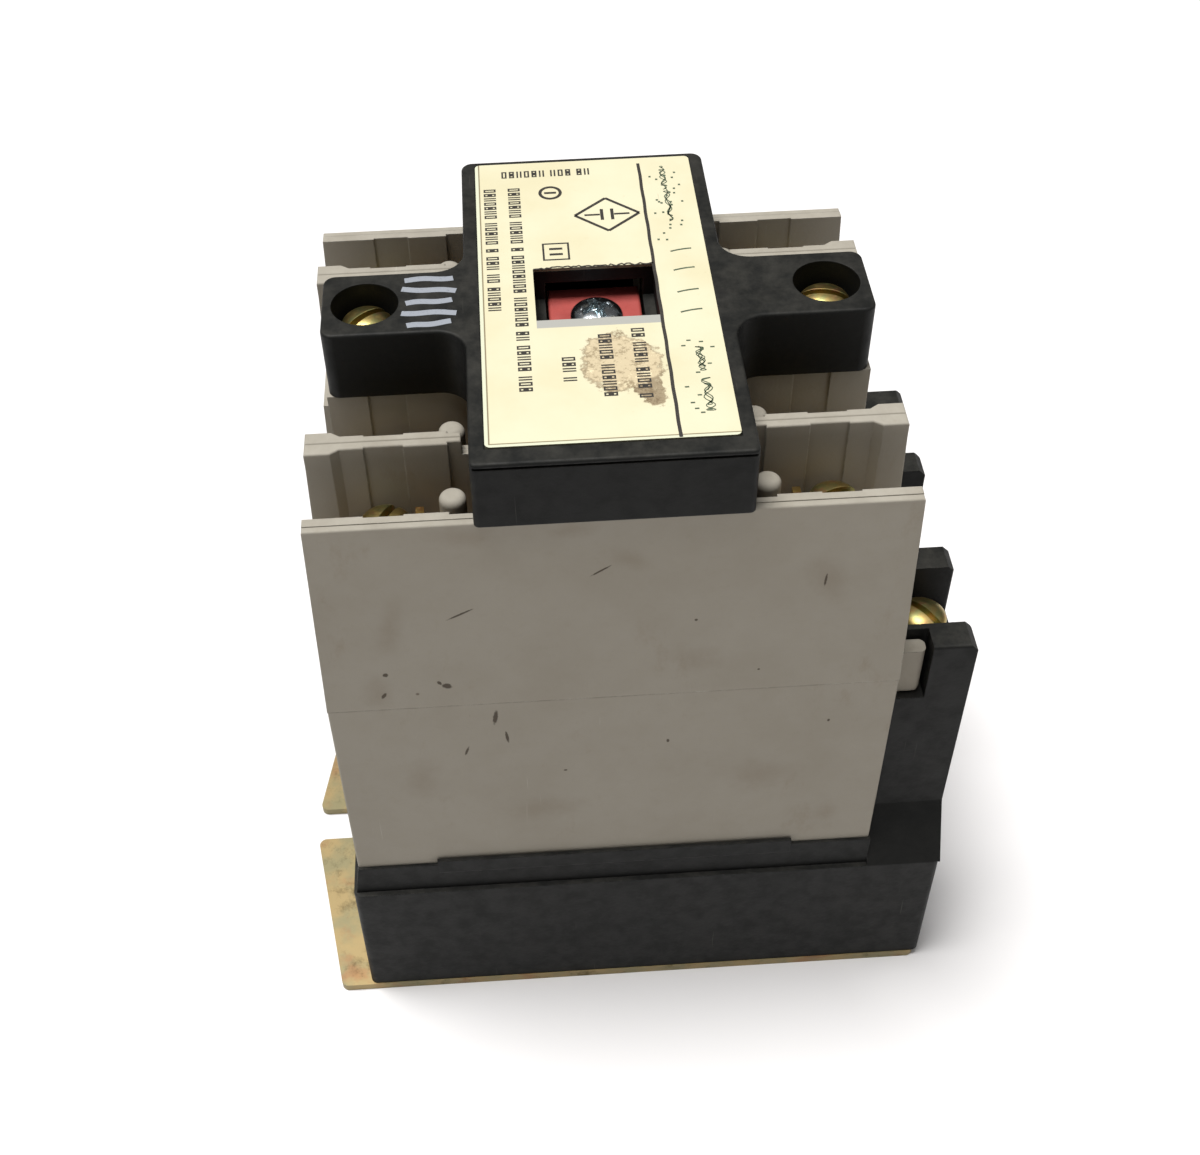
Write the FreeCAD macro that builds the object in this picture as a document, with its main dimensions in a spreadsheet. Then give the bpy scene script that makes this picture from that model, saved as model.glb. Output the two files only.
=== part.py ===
"""Four-pole magnetic control relay, modelled as separate pieces in one frame.

Frame: +Z points away from the mounting panel, +X to the coil terminals, and z = 0 is the
underside of the mounting plate, on the axis of the cover. Lengths are millimetres.
"""
import FreeCAD, Part
import Sketcher
import math
import os

Vector = FreeCAD.Vector

# alias, value. Heights (names ending in _z) are measured from the underside of the plate.
SIZES = [
    ("plate_thick", 1.6), ("plate_half_depth", 37.1), ("ear_reach", 57.1), ("ear_corner", 51.1),
    ("plate_right", 56.6), ("slot_wide", 7.2), ("slot_centre", 50.6), ("mount_hole", 5.5),
    ("mount_hole_x", 52.0),
    ("base_left", 45.7), ("base_right", 57.4), ("base_proud", 1.4), ("base_step_z", 30.9),
    ("base_top_z", 37.9), ("base_wall", 3.0), ("base_floor", 3.0), ("band_inset", 0.9),
    ("lip_half", 30.5), ("lip_rise", 1.4), ("boss_radius", 4.4), ("boss_x", 37.3), ("boss_y", 28.8),
    ("tower_left", 44.4), ("tower_half_depth", 31.2), ("tower_bevel_z", 41.5), ("tower_top_z", 82.0),
    ("bay_mid_half", 9.25), ("bay_inner", 14.0), ("bay_outer", 26.0), ("bay_back", 2.5),
    ("bay_floor_z", 71.0), ("notch_right", 50.3), ("notch_z", 70.0), ("duct_top_z", 62.0),
    ("coil_screw_x", 51.2), ("coil_screw_y", 20.1),
    ("body_half_length", 44.25), ("body_half_depth", 35.5), ("crease_z", 79.9), ("body_wall", 2.6),
    ("deck_thick", 4.0), ("tab_right", 49.7), ("tab_inner", 27.3), ("tab_outer", 30.0), ("tab_tall", 9.4),
    ("top_half_length", 43.0), ("end_top_z", 118.6), ("barrier_top_z", 121.2), ("skin_thick", 1.2),
    ("column_half", 7.0), ("column_length", 40.6), ("barrier_y", 20.2), ("wall_thin", 1.2),
    ("wall_mid", 1.45), ("wall_flare", 2.35), ("wall_inner", 0.95), ("flare_start", 38.0),
    ("flare_full", 39.3), ("channel_in", 29.0), ("channel_out", 34.6), ("slot_inner", 22.7),
    ("chamber_half", 20.4), ("chamber_floor_z", 86.8), ("carrier_gap", 8.4), ("pole_floor", 2.5),
    ("seat_z", 105.3), ("post_x", 22.4), ("post_radius", 1.95), ("post_top_z", 116.7),
    ("strap_thick", 1.2), ("strap_half", 4.0), ("strap_in", 9.6), ("strap_out", 38.0),
    ("pole_screw_x", 32.3), ("inner_pole_y", 12.9), ("outer_pole_y", 27.3), ("clamp_half", 4.3),
    ("clamp_rise", 4.0), ("washer_thick", 2.0), ("washer_radius", 3.4), ("pole_head", 3.85),
    ("pole_shank", 1.8), ("head_tall", 3.6), ("coil_head", 4.1), ("coil_shank", 2.0),
    ("screw_slot", 1.1), ("slot_deep", 1.5), ("tip_radius", 2.1), ("tip_thick", 1.0), ("tip_x", 13.0),
    ("cover_half_length", 19.4), ("cover_proud", 0.8), ("arm_reach", 40.3), ("arm_half", 7.3),
    ("cover_top_z", 130.0), ("cover_skin", 2.4), ("cover_wall", 2.2), ("window_half", 9.1),
    ("window_front", 6.3), ("window_back", 6.2), ("guide_notch", 2.1), ("label_sunk", 0.3),
    ("label_thick", 0.5), ("label_half", 17.2), ("label_front", 33.1), ("label_back", 35.0),
    ("cover_screw_x", 34.0), ("cover_head", 3.85), ("bore_radius", 4.98), ("bore_floor_z", 124.6),
    ("cover_shank", 1.9),
    ("core_bottom_z", 6.6), ("core_half_length", 30.0), ("core_half_stack", 11.0), ("yoke_thick", 8.0),
    ("leg_half", 8.0), ("leg_outer", 8.0), ("core_face_z", 36.6), ("cushion_long", 9.0),
    ("rivet_radius", 1.6), ("flange_half_x", 21.5), ("flange_half_y", 23.0), ("flange_thick", 1.4),
    ("coil_bottom_z", 15.0), ("coil_top_z", 34.6), ("tube_wall", 1.1), ("winding_inset", 1.2),
    ("travel", 5.5), ("rest_gap", 0.1), ("armature_thick", 8.0), ("pin_radius", 2.0),
    ("stem_half_x", 6.0), ("stem_half_y", 5.5), ("ear_half", 5.0), ("ear_thick", 2.2),
    ("arm_z", 52.0), ("arm_thick", 4.0), ("shoulder_half", 9.0), ("carrier_low_z", 90.5),
    ("carrier_top_z", 118.2), ("carrier_half_x", 7.0), ("carrier_half_y", 31.5), ("sill_z", 94.0),
    ("window_top_z", 108.0), ("bridge_half_length", 16.0), ("bridge_half_wide", 3.5),
    ("bridge_thick", 1.2), ("spring_y", 18.0), ("return_radius", 3.2),
    ("return_wire", 0.4), ("contact_radius", 2.4), ("contact_wire", 0.3),
    ("plunger_half", 7.0), ("plunger_depth", 9.0), ("plunger_top_z", 124.4), ("plunger_head", 3.95),
    ("free_gap", 0.3), ("fit_gap", 0.1), ("head_gap", 0.35), ("slit_gap", 0.4), ("lead_radius", 1.0),
    ("fixing_radius", 1.65),
]

doc = FreeCAD.newDocument("ControlRelay")
sheet = doc.addObject("Spreadsheet::Sheet", "Sizes")
nodes = []


class Size:
    """A length that knows its value and the sheet expression it comes from."""

    def __init__(self, value, text):
        self.value = float(value)
        self.text = text

    def __add__(self, other):
        other = as_size(other)
        return Size(self.value + other.value, "(%s + %s)" % (self.text, other.text))

    def __sub__(self, other):
        other = as_size(other)
        return Size(self.value - other.value, "(%s - %s)" % (self.text, other.text))

    def __mul__(self, other):
        other = as_size(other)
        return Size(self.value * other.value, "(%s * %s)" % (self.text, other.text))

    def __neg__(self):
        return Size(-self.value, "(0 - %s)" % self.text)

    __radd__ = __add__
    __rmul__ = __mul__

    def __rsub__(self, other):
        return as_size(other) - self


def as_size(item):
    """A plain number is its own expression."""
    return item if isinstance(item, Size) else Size(item, "%.6g" % item)


class Table:
    """The driving dimensions, written to the sheet and read back by name."""

    def __init__(self, rows):
        for row, (alias, value) in enumerate(rows, start=1):
            sheet.set("A%d" % row, alias)
            sheet.set("B%d" % row, str(value))
            sheet.setAlias("B%d" % row, alias)
            setattr(self, alias, Size(value, "Sizes.%s" % alias))
        doc.recompute()


S = Table(SIZES)


def bind(target, path, size):
    """Set a property path of an object from a sheet expression."""
    target.setExpression(path, as_size(size).text)


def outline(*points):
    """A closed outline through (u, v) corners."""
    return [(as_size(u), as_size(v)) for u, v in points]


def box(low_u, high_u, low_v, high_v):
    """A rectangle between two u and two v values."""
    return outline((low_u, low_v), (high_u, low_v), (high_u, high_v), (low_u, high_v))


def disc(u, v, radius):
    """A circle, as a single entry that sketch() recognises."""
    return (as_size(u), as_size(v), as_size(radius))


class Piece:
    """One PartDesign body, built from sketches on its own origin planes."""

    def __init__(self, name):
        self.body = doc.addObject("PartDesign::Body", name)
        self.body.Label = name
        self.name = name
        self.last = None
        nodes.append(self)

    def plane(self, role):
        return [f for f in self.body.Origin.OriginFeatures if f.Role == role + "_Plane"][0]

    def sketch(self, role, level, loops, centre=(0, 0), turn=0):
        """A sketch on an origin plane, shifted along its normal and within its plane."""
        sketch = self.body.newObject("Sketcher::SketchObject", self.name + "_sketch")
        sketch.AttachmentSupport = [(self.plane(role), "")]
        sketch.MapMode = "FlatFace"
        level = as_size(level)
        level = -level if role == "XZ" else level
        middle = [as_size(item) for item in centre]
        spot = Vector(middle[0].value, middle[1].value, level.value)
        sketch.AttachmentOffset = FreeCAD.Placement(spot, FreeCAD.Rotation(Vector(0, 0, 1), turn))
        for path, size in zip("xyz", (middle[0], middle[1], level)):
            bind(sketch, "AttachmentOffset.Base." + path, size)
        for loop in loops:
            if isinstance(loop, tuple):
                self.draw_circle(sketch, loop)
            else:
                self.draw_outline(sketch, loop)
        return sketch

    def fix(self, sketch, kind, geometry, point, size):
        """Hold one coordinate of a point at a size measured from the sketch origin."""
        index = sketch.addConstraint(Sketcher.Constraint(kind, -1, 1, geometry, point, size.value))
        bind(sketch, "Constraints[%d]" % index, size)

    def draw_circle(self, sketch, loop):
        u, v, radius = loop
        circle = Part.Circle(Vector(u.value, v.value, 0), Vector(0, 0, 1), radius.value)
        index = sketch.addGeometry(circle, False)
        self.fix(sketch, "DistanceX", index, 3, u)
        self.fix(sketch, "DistanceY", index, 3, v)
        size = sketch.addConstraint(Sketcher.Constraint("Radius", index, radius.value))
        bind(sketch, "Constraints[%d]" % size, radius)

    def draw_outline(self, sketch, corners):
        first = sketch.GeometryCount
        count = len(corners)
        for here, there in zip(corners, corners[1:] + corners[:1]):
            start = Vector(here[0].value, here[1].value, 0)
            end = Vector(there[0].value, there[1].value, 0)
            sketch.addGeometry(Part.LineSegment(start, end), False)
        for index, (u, v) in enumerate(corners):
            line = first + index
            sketch.addConstraint(Sketcher.Constraint("Coincident", line, 2, first + (index + 1) % count, 1))
            self.fix(sketch, "DistanceX", line, 1, u)
            self.fix(sketch, "DistanceY", line, 1, v)

    def feature(self, kind, sketch):
        made = self.body.newObject("PartDesign::" + kind, self.name + "_" + kind)
        made.Profile = sketch
        self.last = made
        return made

    def add(self, role, low, high, *loops, centre=(0, 0), turn=0):
        """Fill the loops between two levels along the plane's axis."""
        start = high if role == "XZ" else low
        pad = self.feature("Pad", self.sketch(role, start, loops, centre, turn))
        pad.Length = (as_size(high) - low).value
        bind(pad, "Length", as_size(high) - low)
        return self

    def cut(self, role, low, high, *loops, centre=(0, 0), turn=0):
        """Remove the loops between two levels, and make sure that something went."""
        doc.recompute()
        before = self.body.Shape.Volume
        start = low if role == "XZ" else high
        pocket = self.feature("Pocket", self.sketch(role, start, loops, centre, turn))
        pocket.Length = (as_size(high) - low).value
        bind(pocket, "Length", as_size(high) - low)
        doc.recompute()
        if self.body.Shape.Volume > before - 1e-3:
            raise RuntimeError("%s: a pocket removed nothing" % self.name)
        return self

    def turned(self, x, y, profile, kind="Revolution"):
        """Turn a profile of (radius, z) corners about the vertical through x, y."""
        made = self.feature(kind, self.sketch("XZ", y, [outline(*profile)], centre=(x, 0)))
        made.ReferenceAxis = (made.Profile[0], ["V_Axis"])
        made.Angle = 360
        return self

    def edges(self, choose):
        """Names of the edges of the present shape that a test accepts."""
        doc.recompute()
        shape = self.last.Shape
        return ["Edge%d" % (i + 1) for i, edge in enumerate(shape.Edges) if choose(edge)]

    def soften(self, size, choose, kind="Fillet"):
        """Round or bevel the chosen edges."""
        names = self.edges(choose)
        if not names:
            raise RuntimeError("%s: no edge to soften" % self.name)
        base = self.last
        made = self.body.newObject("PartDesign::" + kind, self.name + "_" + kind)
        made.Base = (base, names)
        width = "Radius" if kind == "Fillet" else "Size"
        setattr(made, width, as_size(size).value)
        bind(made, width, size)
        self.last = made
        return self


def upright(edge, test):
    """Whether an edge stands along Z at a place that the test accepts."""
    a, b = edge.Vertexes[0].Point, edge.Vertexes[-1].Point
    rise = abs(a.z - b.z)
    lean = math.hypot(a.x - b.x, a.y - b.y)
    return rise > 0.5 and lean < 0.05 * rise and test((a + b) * 0.5)


def level(edge, height):
    """Whether an edge lies wholly at one height."""
    return all(abs(vertex.Z - as_size(height).value) < 1e-4 for vertex in edge.Vertexes)


def near(value, size):
    return abs(value - as_size(size).value) < 1e-3


def span(sign, inner, outer):
    """Low and high of a stretch that lies from inner to outer on one side of zero."""
    return (inner, outer) if sign > 0 else (-outer, -inner)


POLES = [(1, -1, "outer"), (2, -1, "inner"), (3, 1, "inner"), (4, 1, "outer")]
SEAM_OUT = S.body_half_depth - S.skin_thick
BASE_HALF_DEPTH = S.body_half_depth + S.base_proud
COVER_HALF_DEPTH = S.body_half_depth + S.cover_proud


def pole_centre(side, row):
    """Y of a pole's contacts."""
    return (S.outer_pole_y if row == "outer" else S.inner_pole_y) * side


CORNERS = [(S.boss_x * sx, S.boss_y * sy) for sx in (1, -1) for sy in (1, -1)]
PLATE_FIXINGS = [(36.5 * sx, 16.0 * sy) for sx in (1, -1) for sy in (1, -1)]
POLE_SCREWS = [(S.pole_screw_x * sx, pole_centre(side, row), turn)
               for (number, side, row), turns in zip(POLES, [(62, 20), (8, 75), (-35, 50), (15, -70)])
               for sx, turn in zip((-1, 1), turns)]
COIL_SCREWS = [(S.coil_screw_x, S.coil_screw_y * sign, turn) for sign, turn in ((-1, -52), (1, 25))]
COVER_SCREWS = [(-S.cover_screw_x, 0, 38), (S.cover_screw_x, 0, -12)]


def mounting_plate():
    plate = Piece("mounting_plate")
    left = outline((-S.ear_corner, -S.plate_half_depth), (S.plate_right, -S.plate_half_depth),
                   (S.plate_right, S.plate_half_depth), (-S.ear_corner, S.plate_half_depth),
                   (-S.ear_reach, S.slot_wide * 0.5), (-S.ear_reach, -S.slot_wide * 0.5))
    plate.add("XY", 0, S.plate_thick, left)
    plate.cut("XY", 0, S.plate_thick,
              box(-S.ear_reach - 1, -S.slot_centre, -S.slot_wide * 0.5, S.slot_wide * 0.5))
    plate.cut("XY", 0, S.plate_thick, disc(-S.slot_centre, 0, S.slot_wide * 0.5))
    plate.cut("XY", 0, S.plate_thick, disc(S.mount_hole_x, 0, S.mount_hole * 0.5))
    for x, y in PLATE_FIXINGS:
        plate.turned(x, y, [(0, 0), (3.5, 0), (1.8, S.plate_thick), (0, S.plate_thick)], "Groove")
    corner = [S.ear_corner.value, S.plate_right.value, S.ear_reach.value]
    plate.soften(1.4, lambda e: upright(e, lambda p: any(abs(abs(p.x) - c) < 1e-3 for c in corner)))
    return plate


def base_housing():
    base = Piece("base_housing")
    inner_left = -S.base_left + S.base_wall
    inner_right = S.tower_left - S.base_wall
    inner_y = BASE_HALF_DEPTH - S.band_inset - S.base_wall + 0.4
    floor_z = S.plate_thick + S.base_floor
    base.add("XY", S.plate_thick, S.base_step_z,
             box(-S.base_left, S.base_right, -BASE_HALF_DEPTH, BASE_HALF_DEPTH))
    base.soften(1.2, lambda e: upright(e, lambda p: True))
    band = BASE_HALF_DEPTH - S.band_inset
    base.add("XZ", -band, band,
             outline((-S.base_left + 0.5, S.base_step_z), (S.tower_left, S.base_step_z),
                     (S.tower_left, S.base_top_z), (-S.base_left + 1.5, S.base_top_z)))
    tower = outline((-BASE_HALF_DEPTH, S.base_step_z), (BASE_HALF_DEPTH, S.base_step_z),
                    (S.tower_half_depth, S.tower_bevel_z), (S.tower_half_depth, S.tower_top_z),
                    (-S.tower_half_depth, S.tower_top_z), (-S.tower_half_depth, S.tower_bevel_z))
    base.add("YZ", S.tower_left, S.base_right, tower)
    base.cut("XY", floor_z, S.base_top_z, box(inner_left, inner_right, -inner_y, inner_y))
    for sign in (-1, 1):
        face = sign * (S.body_half_depth + S.fit_gap * 2)
        rim = sign * (band + 0.3)
        low, high = (rim, face) if sign < 0 else (face, rim)
        base.add("XY", S.base_top_z - 2, S.base_top_z + S.lip_rise, box(-S.lip_half, S.lip_half, low, high))
    bay_left = S.tower_left + S.bay_back
    beyond = S.base_right + 1
    base.cut("XY", S.plate_thick, S.tower_top_z, box(bay_left, beyond, -S.bay_mid_half, S.bay_mid_half))
    for sign in (-1, 1):
        bay = span(sign, S.bay_inner, S.bay_outer)
        base.cut("XY", S.bay_floor_z, S.tower_top_z, box(bay_left, beyond, *bay))
        base.cut("XY", S.notch_z, S.tower_top_z,
                 box(S.tower_left, S.notch_right, *span(sign, S.tab_inner - S.free_gap, S.tower_half_depth)))
        duct = span(sign, S.coil_screw_y - 4.1, S.coil_screw_y + 4.1)
        base.cut("XY", S.plate_thick, S.duct_top_z, box(bay_left - 1.3, S.base_right - 2.5, *duct))
        slit = span(sign, S.coil_screw_y - 3.2, S.coil_screw_y + 3.2)
        base.cut("XY", S.duct_top_z - 1, S.bay_floor_z,
                 box(bay_left, bay_left + S.strap_thick + S.slit_gap, *slit))
        base.cut("YZ", inner_right - 1, bay_left, disc(sign * S.coil_screw_y, 25, S.lead_radius + S.free_gap))
    base.add("XY", floor_z - 1, S.base_top_z, *[disc(x, y, S.boss_radius) for x, y in CORNERS])
    base.add("XY", floor_z - 1, 11, *[disc(x, y, 4) for x, y in PLATE_FIXINGS])
    base.cut("XY", 20, S.base_top_z, *[disc(x, y, S.fixing_radius + S.fit_gap) for x, y in CORNERS])
    base.cut("XY", S.plate_thick, 9.5, *[disc(x, y, 1.8) for x, y in PLATE_FIXINGS])
    base.cut("XY", S.bay_floor_z - 8, S.bay_floor_z,
             *[disc(x, y, S.coil_shank + S.fit_gap) for x, y, turn in COIL_SCREWS])
    top_outer = S.tower_half_depth.value
    base.soften(1.1, lambda e: level(e, S.tower_top_z) and all(
        near(v.X, S.base_right) for v in e.Vertexes), "Chamfer")
    base.soften(0.5, lambda e: upright(e, lambda p: near(p.x, S.base_right) and p.z > S.bay_floor_z.value)
                or (level(e, S.tower_top_z) and all(abs(abs(v.Y) - top_outer) < 1e-3 for v in e.Vertexes)))
    return base


def lower_housing():
    housing = Piece("lower_housing")
    length, depth = S.body_half_length, S.body_half_depth
    deck_z = S.crease_z - S.deck_thick
    housing.add("XY", S.base_top_z, S.crease_z, box(-length, length, -depth, depth))
    housing.soften(0.5, lambda e: upright(e, lambda p: True))
    for sign in (-1, 1):
        tab = box(length - 1, S.tab_right, *span(sign, S.tab_inner, S.tab_outer))
        housing.add("XY", S.crease_z - S.tab_tall, S.crease_z, tab)
    housing.soften(1.1, lambda e: (near(e.CenterOfMass.x, S.tab_right)
                                   and not level(e, S.crease_z)) and e.Length > 2)
    housing.cut("XY", S.base_top_z, deck_z,
                box(-length + S.body_wall, length - S.body_wall, -depth + S.body_wall, depth - S.body_wall))
    housing.add("XY", S.base_top_z, 46, *[disc(x, y, S.boss_radius) for x, y in CORNERS])
    housing.add("XY", 58, deck_z + 1, *[disc(x, y, 4.6) for x, y, turn in COVER_SCREWS])
    housing.cut("XY", S.base_top_z, 46, *[disc(x, y, S.fixing_radius + S.fit_gap) for x, y in CORNERS])
    housing.cut("XY", 58, S.crease_z, *[disc(x, y, S.cover_shank + S.fit_gap) for x, y, turn in COVER_SCREWS])
    stem_x, stem_y = S.stem_half_x + S.free_gap + S.fit_gap, S.stem_half_y + S.free_gap + S.fit_gap
    housing.cut("XY", deck_z, S.crease_z, box(-stem_x, stem_x, -stem_y, stem_y))
    return housing


def pole_slot(piece, sign_x, low, high, low_wall, high_wall):
    """The terminal space of one pole on one side, open at the top and at the end."""
    far = S.body_half_length + 2

    def wall(edge, sense, kind):
        if kind == "none":
            return [(S.slot_inner, edge - sense * 1), (far, edge - sense * 1)]
        if kind == "end":
            thin, flare = S.wall_mid, S.wall_mid
        else:
            thin, flare = S.wall_mid, S.wall_flare
        return [(S.slot_inner, edge + sense * thin), (S.channel_in, edge + sense * thin),
                (S.channel_in, edge + sense * S.wall_thin), (S.channel_out, edge + sense * S.wall_thin),
                (S.channel_out, edge + sense * thin), (S.flare_start, edge + sense * thin),
                (S.flare_full, edge + sense * flare), (far, edge + sense * flare)]

    points = wall(low, 1, low_wall) + wall(high, -1, high_wall)[::-1]
    piece.cut("XY", S.seat_z, S.barrier_top_z, outline(*[(x * sign_x, y) for x, y in points]))


def pole_housing(number, side, row):
    """A pole block: terminal seats at both ends and the contact chamber between them."""
    pole = Piece("pole_housing_%d" % number)
    inner, outer = (S.barrier_y, SEAM_OUT) if row == "outer" else (S.column_half, S.barrier_y)
    low, high = span(side, inner, outer)
    kinds = ("barrier", "end") if row == "outer" else ("none", "barrier")
    low_wall, high_wall = kinds if side > 0 else kinds[::-1]
    centre = pole_centre(side, row)
    pole.add("XZ", low, high,
             outline((-S.body_half_length, S.crease_z), (S.body_half_length, S.crease_z),
                     (S.top_half_length, S.end_top_z), (S.top_half_length, S.barrier_top_z),
                     (-S.top_half_length, S.barrier_top_z), (-S.top_half_length, S.end_top_z)))
    for sign_x in (-1, 1):
        pole_slot(pole, sign_x, low, high, low_wall, high_wall)
    inside_low = low + (S.wall_inner if low_wall != "none" else -1)
    inside_high = high - (S.wall_inner if high_wall != "none" else -1)
    pole.cut("XY", S.seat_z, S.barrier_top_z, box(-S.slot_inner, S.slot_inner, inside_low, inside_high))
    pole.cut("XY", S.chamber_floor_z, S.seat_z,
             box(-S.chamber_half, S.chamber_half, inside_low, inside_high))
    pole.cut("XY", S.end_top_z, S.barrier_top_z,
             box(-S.chamber_half - 0.4, S.chamber_half + 0.4, low - 1, high + 1))
    if row == "outer":
        end_low, end_high = span(side, outer - S.wall_mid, outer + 1)
        pole.cut("XY", S.end_top_z, S.barrier_top_z,
                 box(-S.body_half_length, S.body_half_length, end_low, end_high))
    gap_low = low - 1 if low_wall != "end" else inside_low
    gap_high = high + 1 if high_wall != "end" else inside_high
    pole.cut("XY", S.crease_z + S.pole_floor, S.barrier_top_z,
             box(-S.carrier_gap, S.carrier_gap, gap_low, gap_high))
    for sign_x in (-1, 1):
        pole.add("XY", S.seat_z - 1, S.post_top_z, disc(S.post_x * sign_x, centre, S.post_radius))
        pole.cut("XY", S.seat_z - 7.5, S.seat_z,
                 disc(S.pole_screw_x * sign_x, centre, S.pole_shank + S.fit_gap))
        hollow = [S.channel_in - 2, S.flare_full + 1]
        hollow_x = hollow if sign_x > 0 else [-hollow[1], -hollow[0]]
        pole.cut("XY", S.crease_z, S.seat_z - 7.5,
                 box(hollow_x[0], hollow_x[1], centre - S.strap_half, centre + S.strap_half))
    pole.soften(1.1, lambda e: level(e, S.post_top_z))
    pole.soften(0.3, lambda e: level(e, S.barrier_top_z))
    return pole


def end_plate(name, side):
    """The thin outer plate that closes the pole stack at the front or rear."""
    plate = Piece(name)
    low, high = span(side, SEAM_OUT, S.body_half_depth)
    plate.add("XZ", low, high,
              outline((-S.body_half_length, S.crease_z), (S.body_half_length, S.crease_z),
                      (S.top_half_length, S.end_top_z), (-S.top_half_length, S.end_top_z)))
    plate.soften(0.3, lambda e: level(e, S.end_top_z))
    return plate


def centre_column():
    column = Piece("centre_column")
    half = S.column_half
    column.add("XY", S.crease_z, S.crease_z + S.pole_floor,
               box(-S.column_length, S.column_length, -half, half))
    for sign_x in (-1, 1):
        low, high = span(sign_x, S.carrier_gap + 0.2, S.column_length)
        column.add("XY", S.crease_z + 1, S.end_top_z, box(low, high, -half, half))
        for sign_y in (-1, 1):
            channel = span(sign_x, S.channel_in, S.channel_out)
            strip = span(sign_y, half - 0.3, half + 1)
            column.cut("XY", S.seat_z, S.end_top_z, box(*channel, *strip))
        low, high = span(sign_x, S.carrier_gap + 3, S.channel_in - 1)
        column.cut("XY", S.crease_z, S.end_top_z - 3, box(low, high, -half + 1.8, half - 1.8))
    column.cut("XY", S.crease_z, S.end_top_z,
               *[disc(x, y, S.cover_shank + S.free_gap) for x, y, turn in COVER_SCREWS])
    stem_x, stem_y = S.stem_half_x + S.free_gap + S.fit_gap, S.stem_half_y + S.free_gap + S.fit_gap
    column.cut("XY", S.crease_z, S.crease_z + S.pole_floor, box(-stem_x, stem_x, -stem_y, stem_y))
    return column


def cover():
    lid = Piece("cover")
    length, depth, reach, arm = S.cover_half_length, COVER_HALF_DEPTH, S.arm_reach, S.arm_half
    lid.add("XY", S.end_top_z, S.cover_top_z,
            outline((-length, -depth), (length, -depth), (length, -arm), (reach, -arm), (reach, arm),
                    (length, arm), (length, depth), (-length, depth), (-length, arm), (-reach, arm),
                    (-reach, -arm), (-length, -arm)))
    lid.soften(4.5, lambda e: upright(e, lambda p: near(abs(p.x), length) and near(abs(p.y), arm)))
    lid.soften(1.8, lambda e: upright(e, lambda p: near(abs(p.x), reach) or near(p.y, depth)))
    lid.soften(0.9, lambda e: upright(e, lambda p: near(-p.y, depth)))
    lid.soften(0.45, lambda e: level(e, S.cover_top_z))
    inner = S.cover_half_length - S.cover_wall
    lid.cut("XY", S.end_top_z, S.cover_top_z - S.cover_skin,
            box(-inner, inner, -depth + S.cover_wall, depth - S.cover_wall))
    label_half = S.label_half + S.fit_gap
    lid.cut("XY", S.cover_top_z - S.label_sunk, S.cover_top_z,
            box(-label_half, label_half, -S.label_front - S.fit_gap, S.label_back + S.fit_gap))
    guide_top = S.plunger_top_z + 0.2
    for sign_x in (-1, 1):
        low, high = span(sign_x, S.carrier_half_x + S.free_gap + S.fit_gap, S.window_half + 1.5)
        lid.add("XY", S.end_top_z + 3, S.cover_top_z - S.cover_skin + 0.5,
                box(low, high, -S.window_front + S.guide_notch, S.window_back + 0.5))
    lid.cut("XY", guide_top, S.cover_top_z,
            box(-S.window_half, S.window_half, -S.window_front, S.window_back))
    for side in (-1, 1):
        strip = span(side, COVER_HALF_DEPTH - 0.4, COVER_HALF_DEPTH + 1)
        lid.cut("XY", S.cover_top_z - 1.05, S.cover_top_z - 0.6, box(-length + 0.4, length - 0.4, *strip))
    for x, y, turn in COVER_SCREWS:
        lid.cut("XY", S.bore_floor_z, S.cover_top_z, disc(x, y, S.bore_radius))
        lid.cut("XY", S.end_top_z, S.bore_floor_z, disc(x, y, S.cover_shank + S.free_gap))
    return lid


def label_plate():
    label = Piece("label_plate")
    low = S.cover_top_z - S.label_sunk
    label.add("XY", low, low + S.label_thick, box(-S.label_half, S.label_half, -S.label_front, S.label_back))
    label.soften(0.8, lambda e: abs(e.CenterOfMass.x) > S.label_half.value - 1e-3
                 and abs(e.CenterOfMass.z - low.value - S.label_thick.value * 0.5) < 1e-3)
    label.cut("XY", low, low + S.label_thick,
              box(-S.window_half, S.window_half, -S.window_front, S.window_back))
    return label


def terminal_strap(number, side, row, sign_x):
    """A strap that seats under a pole screw and steps down to the fixed contact."""
    end = "left" if sign_x < 0 else "right"
    strap = Piece("terminal_strap_%d_%s" % (number, end))
    leg = S.chamber_half - 0.2
    seat, foot, thick = S.seat_z, S.chamber_floor_z, S.strap_thick
    centre = pole_centre(side, row)
    profile = [(S.strap_in, foot), (leg, foot), (leg, seat), (S.strap_out, seat),
               (S.strap_out, seat + thick), (leg - thick, seat + thick), (leg - thick, foot + thick),
               (S.strap_in, foot + thick)]
    strap.add("XZ", centre - S.strap_half, centre + S.strap_half,
              outline(*[(x * sign_x, z) for x, z in profile]))
    strap.cut("XY", seat, seat + thick, disc(S.pole_screw_x * sign_x, centre, S.pole_shank + S.fit_gap))
    strap.cut("XY", seat, seat + thick, disc(S.post_x * sign_x, centre, S.post_radius + S.fit_gap))
    return strap


def fixed_tips():
    tips = Piece("fixed_contact_tips")
    low = S.chamber_floor_z + S.strap_thick
    places = [(S.tip_x * sx, pole_centre(side, row)) for number, side, row in POLES for sx in (-1, 1)]
    for x, y in places:
        tips.add("XY", low, low + S.tip_thick, disc(x, y, S.tip_radius))


def clamp_profile(x, low, sense, reach_in, reach_out):
    """A saddle clamp's side view: a flat plate with its inner end turned up."""
    thick = S.strap_thick
    points = [(x - reach_in, low), (x + reach_out, low), (x + reach_out, low + thick),
              (x - reach_in + thick, low + thick), (x - reach_in + thick, low + S.clamp_rise),
              (x - reach_in, low + S.clamp_rise)]
    return outline(*[(u * sense, v) for u, v in points])


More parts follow.
